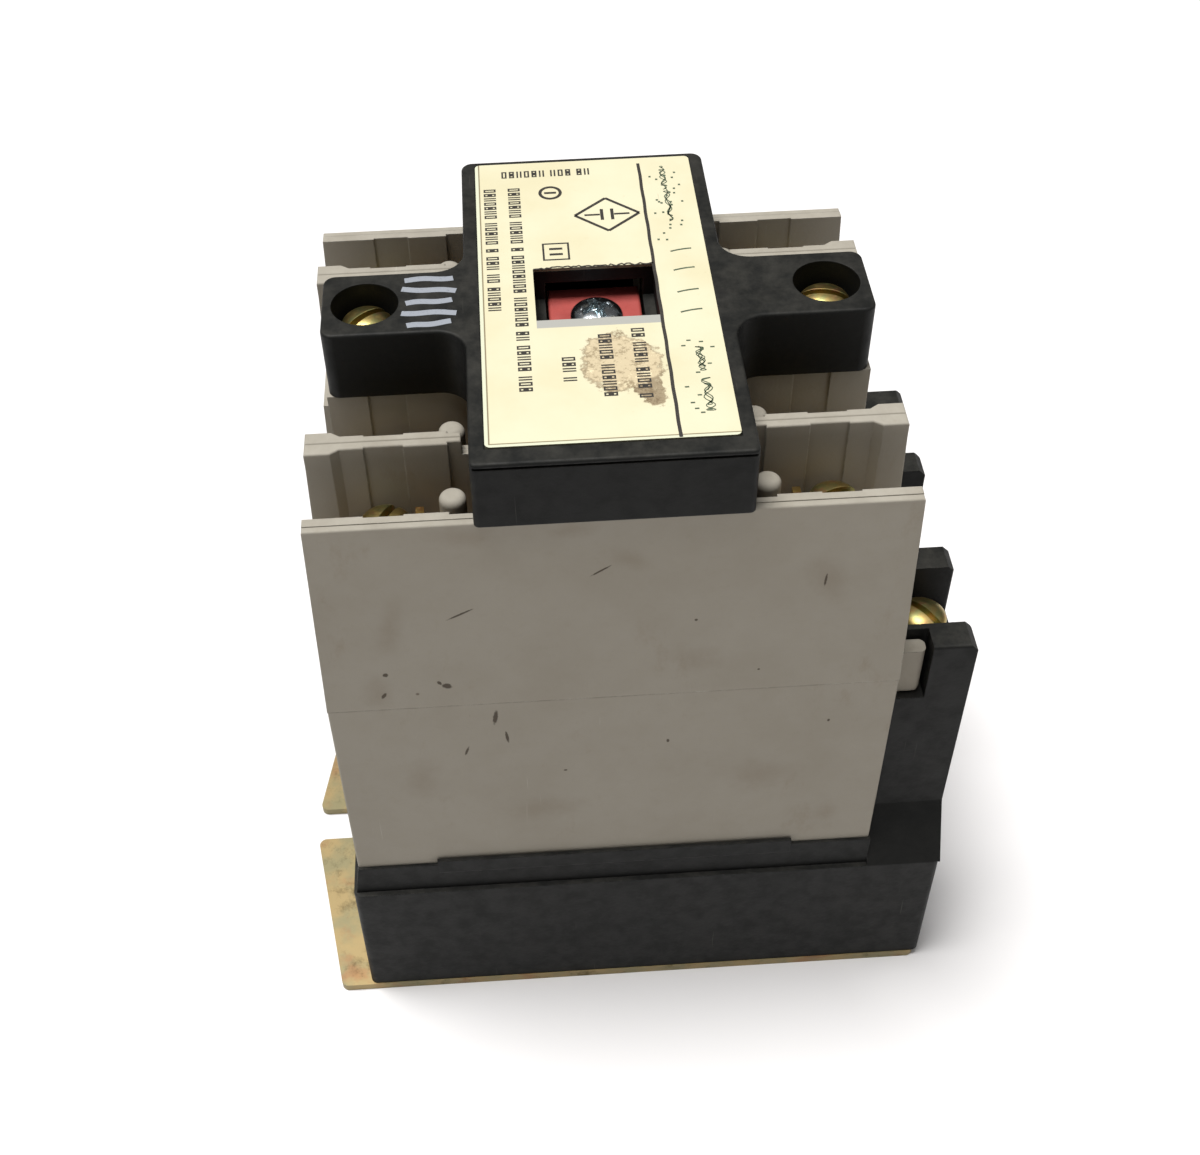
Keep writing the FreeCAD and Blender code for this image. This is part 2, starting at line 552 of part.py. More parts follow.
def saddle_clamps():
    clamps = Piece("saddle_clamps")
    low = S.seat_z + S.strap_thick
    reach_in = S.pole_head + S.head_gap + S.strap_thick
    for number, side, row in POLES:
        centre = pole_centre(side, row)
        for sx in (-1, 1):
            clamps.add("XZ", centre - S.clamp_half, centre + S.clamp_half,
                       clamp_profile(S.pole_screw_x, low, sx, reach_in, 4.7))
    for x, y, turn in POLE_SCREWS:
        clamps.cut("XY", low, low + S.strap_thick, disc(x, y, S.pole_shank + S.fit_gap))


def slotted_screws(name, places, foot, seat, shank, head, washer=None):
    """Slotted screws: shank from foot to seat, an optional spring washer, and a domed head."""
    screws = Piece(name)
    washer_thick = S.washer_thick if washer else as_size(0)
    under = seat + washer_thick
    top = under + S.head_tall
    for x, y, turn in places:
        profile = [(0, foot), (shank, foot), (shank, seat)]
        if washer:
            profile += [(washer, seat), (washer, under)]
        profile += [(head, under), (head, top), (0, top)]
        screws.turned(x, y, profile)
    screws.soften(1.6, lambda e: level(e, top))
    for x, y, turn in places:
        screws.cut("XY", top - S.slot_deep, top, box(-head - 1, head + 1, -S.screw_slot * 0.5,
                                                     S.screw_slot * 0.5), centre=(x, y), turn=turn)
    return screws


def coil_terminals():
    straps = Piece("coil_terminal_straps")
    clamps_low = S.bay_floor_z + S.strap_thick
    left = S.tower_left + S.bay_back + 0.2
    for sign in (-1, 1):
        middle = S.coil_screw_y * sign
        straps.add("XY", S.bay_floor_z, clamps_low,
                   box(left, S.coil_screw_x + 4.2, middle - 4.5, middle + 4.5))
        straps.add("XY", 22, S.bay_floor_z + 0.5, box(left, left + S.strap_thick, middle - 3, middle + 3))
    straps.cut("XY", S.bay_floor_z, clamps_low,
               *[disc(x, y, S.coil_shank + S.fit_gap) for x, y, turn in COIL_SCREWS])
    clamps = Piece("coil_saddle_clamps")
    for sign in (-1, 1):
        middle = S.coil_screw_y * sign
        clamps.add("XY", clamps_low, clamps_low + S.strap_thick,
                   box(S.coil_screw_x - 4.2, S.coil_screw_x + 4.2, middle - 4.6, middle + 4.6))
    clamps.cut("XY", clamps_low, clamps_low + S.strap_thick,
               *[disc(x, y, S.coil_shank + S.fit_gap) for x, y, turn in COIL_SCREWS])
    slotted_screws("coil_terminal_screws", COIL_SCREWS, S.bay_floor_z - 7, clamps_low + S.strap_thick,
                   S.coil_shank, S.coil_head, S.washer_radius)
    leads = Piece("coil_leads")
    winding = S.flange_half_x - S.winding_inset
    for sign in (-1, 1):
        leads.add("YZ", winding, left, disc(sign * S.coil_screw_y, 25, S.lead_radius))


def magnet():
    """Laminated E core with its cushions, rivets and shading rings, and the coil on its centre leg."""
    cushions = Piece("core_cushions")
    floor_z = S.plate_thick + S.base_floor
    for sign in (-1, 1):
        low, high = span(sign, S.core_half_length - S.cushion_long - 1, S.core_half_length - 1)
        cushions.add("XY", floor_z, S.core_bottom_z, box(low, high, -S.core_half_stack + 1,
                                                         S.core_half_stack - 1))
    core = Piece("magnet_core")
    stack, face, bottom = S.core_half_stack, S.core_face_z, S.core_bottom_z
    window_out = S.core_half_length - S.leg_outer
    core.add("XZ", -stack, stack, box(-S.core_half_length, S.core_half_length, bottom, face))
    groove_in = S.core_half_length - 4.6
    rivet_x, rivet_z = S.core_half_length - 4, bottom + 5.5
    for sign in (-1, 1):
        core.cut("XZ", -stack, stack, box(*span(sign, S.leg_half, window_out), bottom + S.yoke_thick, face))
        core.cut("XZ", -stack, stack, box(*span(sign, groove_in, groove_in + 1.4), face - 2.2, face))
    places = [(rivet_x * sign, rivet_z + lift) for sign in (-1, 1) for lift in (0, 16)]
    core.cut("XZ", -stack, stack, *[disc(x, z, S.rivet_radius) for x, z in places])
    rivets = Piece("core_rivets")
    for x, z in places:
        rivets.add("XZ", -stack - 0.9, -stack, disc(x, z, S.rivet_radius + 1))
        rivets.add("XZ", -stack, stack, disc(x, z, S.rivet_radius))
        rivets.add("XZ", stack, stack + 0.9, disc(x, z, S.rivet_radius + 1))
    rings = Piece("shading_rings")
    outer = S.core_half_length
    for sign in (-1, 1):
        rings.add("XY", face - 2.2, face - 0.8,
                  box(*span(sign, groove_in, outer + 1.2), -stack - 1.2, stack + 1.2),
                  box(*span(sign, groove_in + 1.4, outer), -stack, stack))
    bobbin = Piece("coil_bobbin")
    hole = box(-S.leg_half - 0.2, S.leg_half + 0.2, -stack - 0.2, stack + 0.2)
    tube_x, tube_y = S.leg_half + 0.2 + S.tube_wall, stack + 0.2 + S.tube_wall
    flange = box(-S.flange_half_x, S.flange_half_x, -S.flange_half_y, S.flange_half_y)
    bobbin.add("XY", S.coil_bottom_z, S.coil_bottom_z + S.flange_thick, flange, hole)
    bobbin.add("XY", S.coil_bottom_z, S.coil_top_z, box(-tube_x, tube_x, -tube_y, tube_y), hole)
    bobbin.add("XY", S.coil_top_z - S.flange_thick, S.coil_top_z, flange, hole)
    winding = Piece("coil_winding")
    wide_x, wide_y = S.flange_half_x - S.winding_inset, S.flange_half_y - S.winding_inset
    winding.add("XY", S.coil_bottom_z + S.flange_thick, S.coil_top_z - S.flange_thick,
                box(-wide_x, wide_x, -wide_y, wide_y), box(-tube_x, tube_x, -tube_y, tube_y))
    winding.soften(3, lambda e: upright(e, lambda p: near(abs(p.x), wide_x)))


def fixings():
    """Screws that hold the lower housing to the base and the base to the plate."""
    housing = Piece("housing_screws")
    for x, y in CORNERS:
        housing.turned(x, y, [(0, 22), (S.fixing_radius, 22), (S.fixing_radius, 46), (3.4, 46),
                              (3.4, 48.4), (0, 48.4)])
    plate = Piece("plate_screws")
    for x, y in PLATE_FIXINGS:
        plate.turned(x, y, [(0, 0), (3.4, 0), (1.7, S.plate_thick), (1.7, 9), (0, 9)])


ARMATURE_Z = S.core_face_z + S.travel + S.rest_gap
ARMATURE_TOP = ARMATURE_Z + S.armature_thick
PIN_Z = ARMATURE_Z + S.armature_thick * 0.5


def armature():
    plate = Piece("armature")
    stack = S.core_half_stack
    plate.add("XZ", -stack, stack, box(-S.core_half_length, S.core_half_length, ARMATURE_Z, ARMATURE_TOP))
    plate.cut("XZ", -stack, stack, disc(0, PIN_Z, S.pin_radius))
    pin = Piece("armature_pin")
    reach = stack + 0.2 + S.ear_thick
    pin.add("XZ", -reach, reach, disc(0, PIN_Z, S.pin_radius))


def crosshead():
    """The moulded contact carrier, from the armature ears to the bar that holds the bridges."""
    carrier = Piece("crosshead")
    stack = S.core_half_stack + 0.2
    ear = stack + S.ear_thick
    shoulder_top = S.crease_z - S.deck_thick - S.free_gap
    arm_top = S.arm_z + S.arm_thick
    carrier.add("XY", ARMATURE_TOP, arm_top, box(-12, 12, -ear, ear))
    for sign in (-1, 1):
        carrier.add("XY", PIN_Z - 3.4, ARMATURE_TOP + 1,
                    box(-S.ear_half, S.ear_half, *span(sign, stack, ear)))
    carrier.cut("XZ", -ear, ear, disc(0, PIN_Z, S.pin_radius))
    reach = S.spring_y + S.return_radius + 1.3
    carrier.add("XY", S.arm_z, arm_top, box(-S.ear_half, S.ear_half, -reach, reach))
    carrier.add("XY", arm_top - 1, shoulder_top,
                box(-S.shoulder_half, S.shoulder_half, -S.stem_half_y, S.stem_half_y))
    carrier.add("XY", shoulder_top - 1, S.carrier_low_z + 1,
                box(-S.stem_half_x, S.stem_half_x, -S.stem_half_y, S.stem_half_y))
    carrier.add("XY", S.carrier_low_z, S.carrier_top_z,
                box(-S.carrier_half_x, S.carrier_half_x, -S.carrier_half_y, S.carrier_half_y))
    for number, side, row in POLES:
        centre = pole_centre(side, row)
        half = S.bridge_half_wide + S.free_gap
        carrier.cut("YZ", -S.carrier_half_x, S.carrier_half_x,
                    box(centre - half, centre + half, S.sill_z, S.window_top_z))
    carrier.cut("XY", S.carrier_top_z - 8, S.carrier_top_z, disc(0, 0, 1.5 + S.fit_gap))
    return carrier


def plunger():
    button = Piece("plunger")
    half, depth = S.plunger_half, S.plunger_depth
    button.add("XY", S.carrier_top_z, S.plunger_top_z, box(-half, half, -depth, depth))
    button.soften(0.5, lambda e: level(e, S.plunger_top_z))
    button.cut("XY", S.carrier_top_z, S.plunger_top_z, disc(0, 0, 1.5 + S.fit_gap))
    screw = Piece("plunger_screw")
    top = S.plunger_top_z + 3.1
    screw.turned(0, 0, [(0, S.carrier_top_z - 7), (1.5, S.carrier_top_z - 7), (1.5, S.plunger_top_z),
                        (S.plunger_head, S.plunger_top_z), (S.plunger_head, top), (0, top)])
    screw.soften(1.4, lambda e: level(e, top))
    for long_half, wide_half in ((2.3, 0.55), (0.55, 2.3)):
        screw.cut("XY", top - 1.8, top, box(-long_half, long_half, -wide_half, wide_half), turn=20)


def bridge(number, side, row):
    """A contact bridge with a silver tip under each end."""
    centre = pole_centre(side, row)
    low = S.sill_z + S.fit_gap
    strip = Piece("contact_bridge_%d" % number)
    strip.add("XY", low, low + S.bridge_thick,
              box(-S.bridge_half_length, S.bridge_half_length, centre - S.bridge_half_wide,
                  centre + S.bridge_half_wide))
    strip.soften(1, lambda e: upright(e, lambda p: True))
    tips = Piece("moving_tips_%d" % number)
    for sx in (-1, 1):
        tips.add("XY", low - S.tip_thick, low, disc(S.tip_x * sx, centre, S.tip_radius))


def spring(name, x, y, low, high, radius, wire, turns):
    """A compression spring between two levels."""
    coil = Piece(name)
    sketch = coil.sketch("XZ", y, [disc(radius, wire, wire)], centre=(x, low))
    helix = coil.feature("AdditiveHelix", sketch)
    helix.ReferenceAxis = (sketch, ["V_Axis"])
    helix.Mode = "height-turns-angle"
    helix.Turns = turns
    height = as_size(high) - low - wire * 2
    helix.Height = height.value
    bind(helix, "Height", height)


def springs():
    low = S.sill_z + S.fit_gap + S.bridge_thick
    for number, side, row in POLES:
        spring("contact_spring_%d" % number, 0, pole_centre(side, row), low, S.window_top_z,
               S.contact_radius, S.contact_wire, 6)
    for sign, name in ((-1, "return_spring_front"), (1, "return_spring_rear")):
        spring(name, 0, S.spring_y * sign, S.coil_top_z, S.arm_z, S.return_radius, S.return_wire, 7)


def build():
    mounting_plate()
    base_housing()
    lower_housing()
    for number, side, row in POLES:
        pole_housing(number, side, row)
    end_plate("front_end_plate", -1)
    end_plate("rear_end_plate", 1)
    centre_column()
    cover()
    label_plate()
    for number, side, row in POLES:
        for sign_x in (-1, 1):
            terminal_strap(number, side, row, sign_x)
    fixed_tips()
    saddle_clamps()
    slotted_screws("pole_terminal_screws", POLE_SCREWS, S.seat_z - 6, S.seat_z + S.strap_thick * 2,
                   S.pole_shank, S.pole_head, S.washer_radius)
    slotted_screws("cover_screws", COVER_SCREWS, 60, S.bore_floor_z, S.cover_shank, S.cover_head)
    coil_terminals()
    magnet()
    fixings()
    armature()
    crosshead()
    plunger()
    for number, side, row in POLES:
        bridge(number, side, row)
    springs()


def check_and_write():
    """Refuse any failed object or bad shape, then write one file per piece."""
    doc.recompute()
    for item in doc.Objects:
        if "Invalid" in item.State or "Error" in item.State:
            raise RuntimeError("%s failed: %s" % (item.Label, item.State))
    os.makedirs("parts", exist_ok=True)
    for piece in nodes:
        shape = piece.body.Shape
        if shape.isNull() or not shape.isValid() or not shape.Solids:
            raise RuntimeError("%s has a bad shape" % piece.name)
        shape.exportStep("parts/%s.step" % piece.name)
        print("%-26s %2d solids %10.1f mm3" % (piece.name, len(shape.Solids), shape.Volume))


build()
check_and_write()
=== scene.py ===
"""Looks of the control relay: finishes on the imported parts, turned screws, label print and studio.

Everything is in metres in the frame of the parts: +Z away from the panel, +X to the coil terminals.
"""
import logging
import math
from dataclasses import dataclass, field
from enum import Enum
from typing import Any, Optional, Sequence

import bpy
import bmesh
import numpy as np
from mathutils import Matrix, Vector


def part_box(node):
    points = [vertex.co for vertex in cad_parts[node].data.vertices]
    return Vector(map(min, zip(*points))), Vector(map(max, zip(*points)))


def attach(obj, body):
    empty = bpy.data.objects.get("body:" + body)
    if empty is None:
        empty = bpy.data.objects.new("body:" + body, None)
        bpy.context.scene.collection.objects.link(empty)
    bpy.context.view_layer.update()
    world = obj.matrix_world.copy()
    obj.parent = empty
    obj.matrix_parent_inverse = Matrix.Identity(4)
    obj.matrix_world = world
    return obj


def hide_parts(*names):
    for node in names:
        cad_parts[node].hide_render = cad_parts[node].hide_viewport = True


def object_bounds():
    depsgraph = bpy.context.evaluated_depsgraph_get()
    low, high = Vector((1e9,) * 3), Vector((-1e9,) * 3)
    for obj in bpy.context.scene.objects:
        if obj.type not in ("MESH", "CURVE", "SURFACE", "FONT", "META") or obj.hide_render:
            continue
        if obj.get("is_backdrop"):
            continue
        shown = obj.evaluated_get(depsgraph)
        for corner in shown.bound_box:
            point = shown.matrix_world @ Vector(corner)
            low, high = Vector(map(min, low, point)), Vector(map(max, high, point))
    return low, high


log = logging.getLogger("relay")
MM = 0.001
FIXED = "frame_and_magnet"
CARRIER = "carrier"
ANY_DEPTH = 1e3  # half size in millimetres along an axis that a spot doesn't depend on
WAVE_PERIOD = 0.314  # distance between the bands of a wave texture at scale one

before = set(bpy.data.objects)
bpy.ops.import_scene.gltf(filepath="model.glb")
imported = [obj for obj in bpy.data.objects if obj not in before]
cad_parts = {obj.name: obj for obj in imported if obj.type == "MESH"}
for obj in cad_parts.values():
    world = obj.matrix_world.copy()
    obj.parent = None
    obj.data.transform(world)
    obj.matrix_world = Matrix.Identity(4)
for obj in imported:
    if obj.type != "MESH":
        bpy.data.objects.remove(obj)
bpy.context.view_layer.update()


# ---------------------------------------------------------------- colour, nodes and meshes

def linear(code: str) -> tuple[float, float, float, float]:
    """Turn an sRGB hex colour into linear values.

    Args:
        code: six hex digits.

    Returns:
        Linear red, green, blue and an alpha of one.
    """
    parts = [int(code[i:i + 2], 16) / 255 for i in (0, 2, 4)]
    red, green, blue = (c / 12.92 if c <= 0.04045 else ((c + 0.055) / 1.055) ** 2.4 for c in parts)
    return red, green, blue, 1.0


def add_node(tree: bpy.types.NodeTree, kind: str, inputs: Optional[dict] = None, **settings: Any) -> Any:
    """Add one shader node with its settings and links.

    Args:
        tree: the material's node tree.
        kind: node type without the ShaderNode prefix.
        inputs: socket name or number to a value or to the socket that feeds it.
        settings: attributes of the node.

    Returns:
        The new node.
    """
    node = tree.nodes.new("ShaderNode" + kind)
    for name, value in settings.items():
        setattr(node, name, value)
    for name, value in (inputs or {}).items():
        if isinstance(value, bpy.types.NodeSocket):
            tree.links.new(value, node.inputs[name])
        else:
            node.inputs[name].default_value = value
    return node


class Paint:
    """A material being mixed: its shader, its object coordinates and the steps that layer it."""

    def __init__(self, name: str, base: str, roughness: float, **shader: Any) -> None:
        """Start from one colour.

        Args:
            name: the material's name.
            base: sRGB hex of the ground colour.
            roughness: the shader's roughness.
            shader: constant values set on the shader's own sockets.
        """
        self.material = bpy.data.materials.new(name)
        self.material.use_nodes = True
        self.tree = self.material.node_tree
        self.shader = self.tree.nodes["Principled BSDF"]
        self.shader.inputs["Base Color"].default_value = linear(base)
        self.shader.inputs["Roughness"].default_value = roughness
        for key, value in shader.items():
            self.shader.inputs[key.replace("_", " ").title().replace("Ior", "IOR")].default_value = value
        self.place = add_node(self.tree, "TexCoord").outputs["Object"]
        self.colour: Any = linear(base)
        self.rough: Any = roughness
        self.height: Any = None
        self.rounded: Any = None

    def spot(self, scale: Sequence[float] = (1, 1, 1), turn: Sequence[float] = (0, 0, 0)) -> Any:
        """Object coordinates stretched and turned.

        Args:
            scale: stretch along each axis.
            turn: rotation in degrees.

        Returns:
            A vector socket.
        """
        radians = [math.radians(angle) for angle in turn]
        inputs = {"Vector": self.place, "Rotation": radians, "Scale": list(scale)}
        return add_node(self.tree, "Mapping", inputs).outputs["Vector"]

    def noise(self, size_mm: float, detail: float = 3, rough: float = 0.55, where: Any = None,
              seed: float = 0.0) -> Any:
        """Soft cloudy noise.

        Args:
            size_mm: width of a cloud in millimetres.
            detail: octaves.
            rough: roughness of the octaves.
            where: vector socket, or None for plain object coordinates.
            seed: value of the fourth dimension, which picks another pattern.

        Returns:
            A value socket from 0 to 1.
        """
        inputs = {"Vector": where or self.place, "Scale": 1 / (size_mm * MM), "Detail": detail,
                  "Roughness": rough, "W": seed}
        return add_node(self.tree, "TexNoise", inputs, noise_dimensions="4D").outputs["Fac"]

    def cells(self, size_mm: float, seed: float = 0.0) -> Any:
        """Distance to scattered points, for pits and specks of a given spacing."""
        inputs = {"Vector": self.place, "Scale": 1 / (size_mm * MM), "W": seed}
        return add_node(self.tree, "TexVoronoi", inputs, voronoi_dimensions="4D").outputs["Distance"]

    def window(self, value: Any, low: float, high: float, smooth: bool = True) -> Any:
        """Map low..high of a value to 0..1, clamped; low above high turns it round."""
        inputs = {"Value": value, "From Min": low, "From Max": high}
        kind = "SMOOTHSTEP" if smooth else "LINEAR"
        return add_node(self.tree, "MapRange", inputs, interpolation_type=kind).outputs["Result"]

    def math(self, operation: str, left: Any, right: Any = 0.0) -> Any:
        """One arithmetic step on two values."""
        return add_node(self.tree, "Math", {0: left, 1: right}, operation=operation).outputs["Value"]

    def axis(self, letter: str) -> Any:
        """One object coordinate, in metres."""
        return add_node(self.tree, "SeparateXYZ", {"Vector": self.place}).outputs[letter]

    def facing(self, letter: str) -> Any:
        """The part of the surface's normal that points along one axis, from -1 to 1."""
        normal = add_node(self.tree, "NewGeometry").outputs["Normal"]
        return add_node(self.tree, "SeparateXYZ", {"Vector": normal}).outputs[letter]

    def between(self, letter: str, low_mm: float, high_mm: float, soft_mm: float = 0.05) -> Any:
        """One inside a stretch of an axis, zero outside.

        Args:
            letter: the axis.
            low_mm: where the stretch starts.
            high_mm: where it ends.
            soft_mm: half the width of its soft ends.

        Returns:
            A value socket.
        """
        value = self.axis(letter)
        rise = self.window(value, (low_mm - soft_mm) * MM, (low_mm + soft_mm) * MM)
        fall = self.window(value, (high_mm + soft_mm) * MM, (high_mm - soft_mm) * MM)
        return self.math("MULTIPLY", rise, fall)

    def edges(self, radius_mm: float, keep: float = 0.8) -> Any:
        """Outer and inner edges, found where a rounded normal leaves the true one.

        Args:
            radius_mm: how far from an edge the mask reaches.
            keep: cosine at which the mask is full.

        Returns:
            A value socket, one at the edges.
        """
        self.rounded = add_node(self.tree, "Bevel", {"Radius": radius_mm * MM}, samples=4).outputs["Normal"]
        true = add_node(self.tree, "NewGeometry").outputs["True Normal"]
        same = add_node(self.tree, "VectorMath", {0: self.rounded, 1: true}, operation="DOT_PRODUCT")
        return self.window(same.outputs["Value"], 0.995, keep, smooth=False)

    def blot(self, centre: Sequence[float], half: Sequence[float], turn: float = 0.0, ragged: float = 0.8,
             fine_mm: float = 1.2, soft: float = 0.35, seed: float = 0.0) -> Any:
        """A ragged spot on a face that looks along Y or along Z.

        Args:
            centre: its middle, in millimetres.
            half: its half sizes, in millimetres, with ANY_DEPTH along the axis that the face looks along.
            turn: turn about Y (faces along Y) or Z, in degrees.
            ragged: how far noise breaks its edge up.
            fine_mm: size of the noise.
            soft: width of its edge as a share of its size.
            seed: picks another noise.

        Returns:
            A value socket.
        """
        about = (0, math.radians(turn), 0) if half[1] == ANY_DEPTH else (0, 0, math.radians(turn))
        near = add_node(self.tree, "Mapping", {"Vector": self.place, "Location": [c * MM for c in centre],
                                               "Rotation": about, "Scale": [h * MM for h in half]},
                        vector_type="TEXTURE").outputs["Vector"]
        reach = add_node(self.tree, "VectorMath", {0: near}, operation="LENGTH").outputs["Value"]
        rough = self.math("MULTIPLY", self.noise(fine_mm, 5, 0.7, seed=seed), ragged)
        broken = self.math("ADD", reach, rough)
        edge = 1 + ragged / 2
        return self.window(broken, edge, edge - soft)

    def tint(self, mask: Any, code: str, strength: float = 1.0) -> None:
        """Lay another colour over the ground where the mask is on.

        Args:
            mask: value socket, or a constant.
            code: sRGB hex of the layer.
            strength: how much of it shows at most.
        """
        amount = self.math("MULTIPLY", mask, strength)
        inputs = {0: amount, 6: self.colour, 7: linear(code)}
        self.colour = add_node(self.tree, "Mix", inputs, data_type="RGBA").outputs[2]

    def roughen(self, mask: Any, amount: float) -> None:
        """Add to the roughness where the mask is on."""
        self.rough = self.math("ADD", self.rough, self.math("MULTIPLY", mask, amount))

    def raise_by(self, value: Any, depth_mm: float) -> None:
        """Add a height to the bump, in millimetres."""
        step = self.math("MULTIPLY", value, depth_mm * MM)
        self.height = step if self.height is None else self.math("ADD", self.height, step)

    def finish(self) -> bpy.types.Material:
        """Join the layers to the shader.

        Returns:
            The finished material.
        """
        for name, value in (("Base Color", self.colour), ("Roughness", self.rough)):
            if isinstance(value, bpy.types.NodeSocket):
                self.tree.links.new(value, self.shader.inputs[name])
        if self.height is not None:
            bump = add_node(self.tree, "Bump", {"Height": self.height, "Strength": 1.0, "Distance": 1.0})
            if self.rounded is not None:
                self.tree.links.new(self.rounded, bump.inputs["Normal"])
            self.tree.links.new(bump.outputs["Normal"], self.shader.inputs["Normal"])
        return self.material


# ---------------------------------------------------------------- finishes

@dataclass(frozen=True)
class Moulding:
    """Moulded thermoset: a dense matt plastic with a fine orange peel, mottling, scuffs and a lighter dusty
    tint on upward faces, partly dirt and partly painted top light.
    """

    name: str
    ground: str
    worn: str
    # Colour of the scuffs and of the dusty tint on upward faces, which also serves as painted top light.
    dust_and_top_light: str
    roughness: float = 0.5
    peel_mm: float = 0.7
    # How much of the dusty tint the upward faces get: partly settled dirt, partly painted light on the tops.
    top_light_and_dust_amount: float = 0.35
    mottle: float = 0.25
    edge: str = "4b4a47"
    edge_amount: float = 0.5
    gloss: float = 0.16

    def paint(self) -> Paint:
        """Mix the ground, mottling, a dusty tint on upward faces that is partly painted top light, hairline
        scuffs and fine grain.

        Returns:
            The paint, open for a part's own marks.
        """
        paint = Paint(self.name, self.ground, self.roughness, ior=1.5, specular_ior_level=self.gloss)
        paint.tint(paint.window(paint.noise(14, 4), 0.35, 0.75), self.worn, self.mottle)
        paint.tint(paint.window(paint.noise(1.6, 4, 0.7, seed=3), 0.5, 0.8), self.worn, self.mottle * 0.6)
        # Painted light in part: upward faces get a lighter dusty tint, which stands for settled dirt and also
        # makes the tops lighter than the sides, as light from above would.
        up = paint.window(paint.facing("Z"), 0.3, 0.95)
        top_light_and_dust = paint.math("MULTIPLY", up, paint.window(paint.noise(5, 6, 0.7, seed=7), 0.3, 0.75))
        paint.tint(top_light_and_dust, self.dust_and_top_light, self.top_light_and_dust_amount)
        for turn, seed in ((18, 1.3), (-37, 5.1), (71, 8.4)):
            lines = paint.noise(0.5, 2, 0.5, paint.spot((1, 0.03, 0.03), (turn, turn * 0.6, turn)), seed)
            patch = paint.window(paint.noise(17, 2, seed=seed), 0.52, 0.72)
            scuff = paint.math("MULTIPLY", paint.window(lines, 0.7, 0.76), patch)
            paint.tint(scuff, self.dust_and_top_light, 0.55)
        edges = paint.edges(0.3)
        rubbed = paint.math("MULTIPLY", edges, paint.window(paint.noise(2.2, 4, 0.7, seed=14), 0.4, 0.62))
        paint.tint(rubbed, self.edge, self.edge_amount)
        paint.roughen(paint.window(paint.noise(3, 5, 0.65, seed=2), 0.35, 0.7), 0.14)
        paint.raise_by(paint.noise(self.peel_mm, 3, 0.6), 0.035)
        paint.raise_by(paint.noise(9, 2, 0.5, seed=11), 0.05)
        return paint


@dataclass(frozen=True)
class GreyMoulding(Moulding):
    """Grey pole moulding: chalky, with brown fingerprints, specks and a few dark scrapes."""

    def paint(self) -> Paint:
        """Add handling stains to the moulding.

        Returns:
            The paint, open for a part's own marks.
        """
        paint = super().paint()
        smear = paint.window(paint.noise(12, 6, 0.75, paint.spot((1, 1, 0.5)), 21), 0.56, 0.74)
        paint.tint(smear, "7a6a55", 0.34)
        speck = paint.window(paint.cells(5.5, 4), 0.075, 0.03)
        some = paint.window(paint.noise(22, 2, seed=31), 0.48, 0.6)
        paint.tint(paint.math("MULTIPLY", speck, some), "4a3a2c", 0.75)
        lines = paint.noise(1.4, 4, 0.7, paint.spot((1, 1, 0.12), (0, 24, 0)), 41)
        patch = paint.window(paint.noise(16, 3, seed=44), 0.6, 0.7)
        scrape = paint.math("MULTIPLY", paint.window(lines, 0.66, 0.72), patch)
        paint.tint(scrape, "54432f", 0.8)
        return paint


@dataclass(frozen=True)
class HandledPlate(GreyMoulding):
    """The outer grey plates: thumb smudges, rust-brown scuffs, ink-dark nicks and painted shade along a faint
    crease.
    """

    crease_shade_z: float = 79.9
    crease_shade_half: float = 0.12
    smudges: tuple[tuple[float, float, float, float, float], ...] = (
        (-21, 116.2, 7.0, 3.2, 8), (-6, 116.5, 5.0, 2.4, -6), (-33, 98, 2.6, 8.0, 12), (-36, 84, 3.0, 5.5, 0),
        (31, 104, 4.0, 7.0, -20), (12, 88, 7.0, 4.0, 15), (24, 58, 9.0, 6.0, 5), (-12, 52, 8.0, 4.5, -8),
        (-31, 62, 4.0, 7.0, 10), (36, 46, 3.0, 4.0, 0), (2, 110, 4.5, 2.5, 30))
    nicks: tuple[tuple[float, float, float, float, float], ...] = (
        (-22.5, 100.5, 2.6, 0.22, -28), (-2.0, 108.0, 2.1, 0.2, -34), (-25.5, 84.7, 0.9, 0.7, 20),
        (-26.6, 85.5, 0.6, 0.35, 60), (-18.6, 76.5, 0.45, 2.0, 8), (-17.0, 71.5, 0.3, 1.6, -6),
        (-23.5, 68.5, 0.25, 1.3, 18), (30.5, 103.5, 0.22, 1.5, 4), (12.0, 96.5, 0.3, 0.3, 0),
        (-34.5, 88.0, 0.5, 0.5, 0), (-35.2, 83.2, 0.35, 0.9, 30), (8.5, 68.2, 0.3, 0.5, 0),
        (22.0, 84.5, 0.25, 0.25, 0), (-8.0, 62.0, 0.35, 0.25, 0), (34.0, 71.0, 0.25, 0.4, 0))

    def paint(self) -> Paint:
        """Add the placed smudges, nicks and the painted crease shade to the grey moulding.

        Returns:
            The paint, open for a part's own marks.
        """
        paint = super().paint()
        for seed, (x, z, wide, tall, turn) in enumerate(self.smudges):
            spot = paint.blot((x, 0, z), (wide, ANY_DEPTH, tall), turn, 1.4, 5.0, 1.1, seed)
            paint.tint(spot, "6d5d48", 0.24)
        for seed, (x, z, wide, tall, turn) in enumerate(self.nicks):
            spot = paint.blot((x, 0, z), (wide, ANY_DEPTH, tall), turn, 0.9, 0.5, 0.4, seed + 30)
            paint.tint(spot, "3a2e22", 0.85)
        # Painted shade: a thin, broken, darker line along the faint crease across the plates.
        line = paint.between("Z", self.crease_shade_z - self.crease_shade_half, self.crease_shade_z + self.crease_shade_half, 0.06)
        broken = paint.math("MULTIPLY", line, paint.window(paint.noise(6, 3, seed=51), 0.3, 0.6))
        paint.tint(broken, "6f695e", 0.32)
        return paint


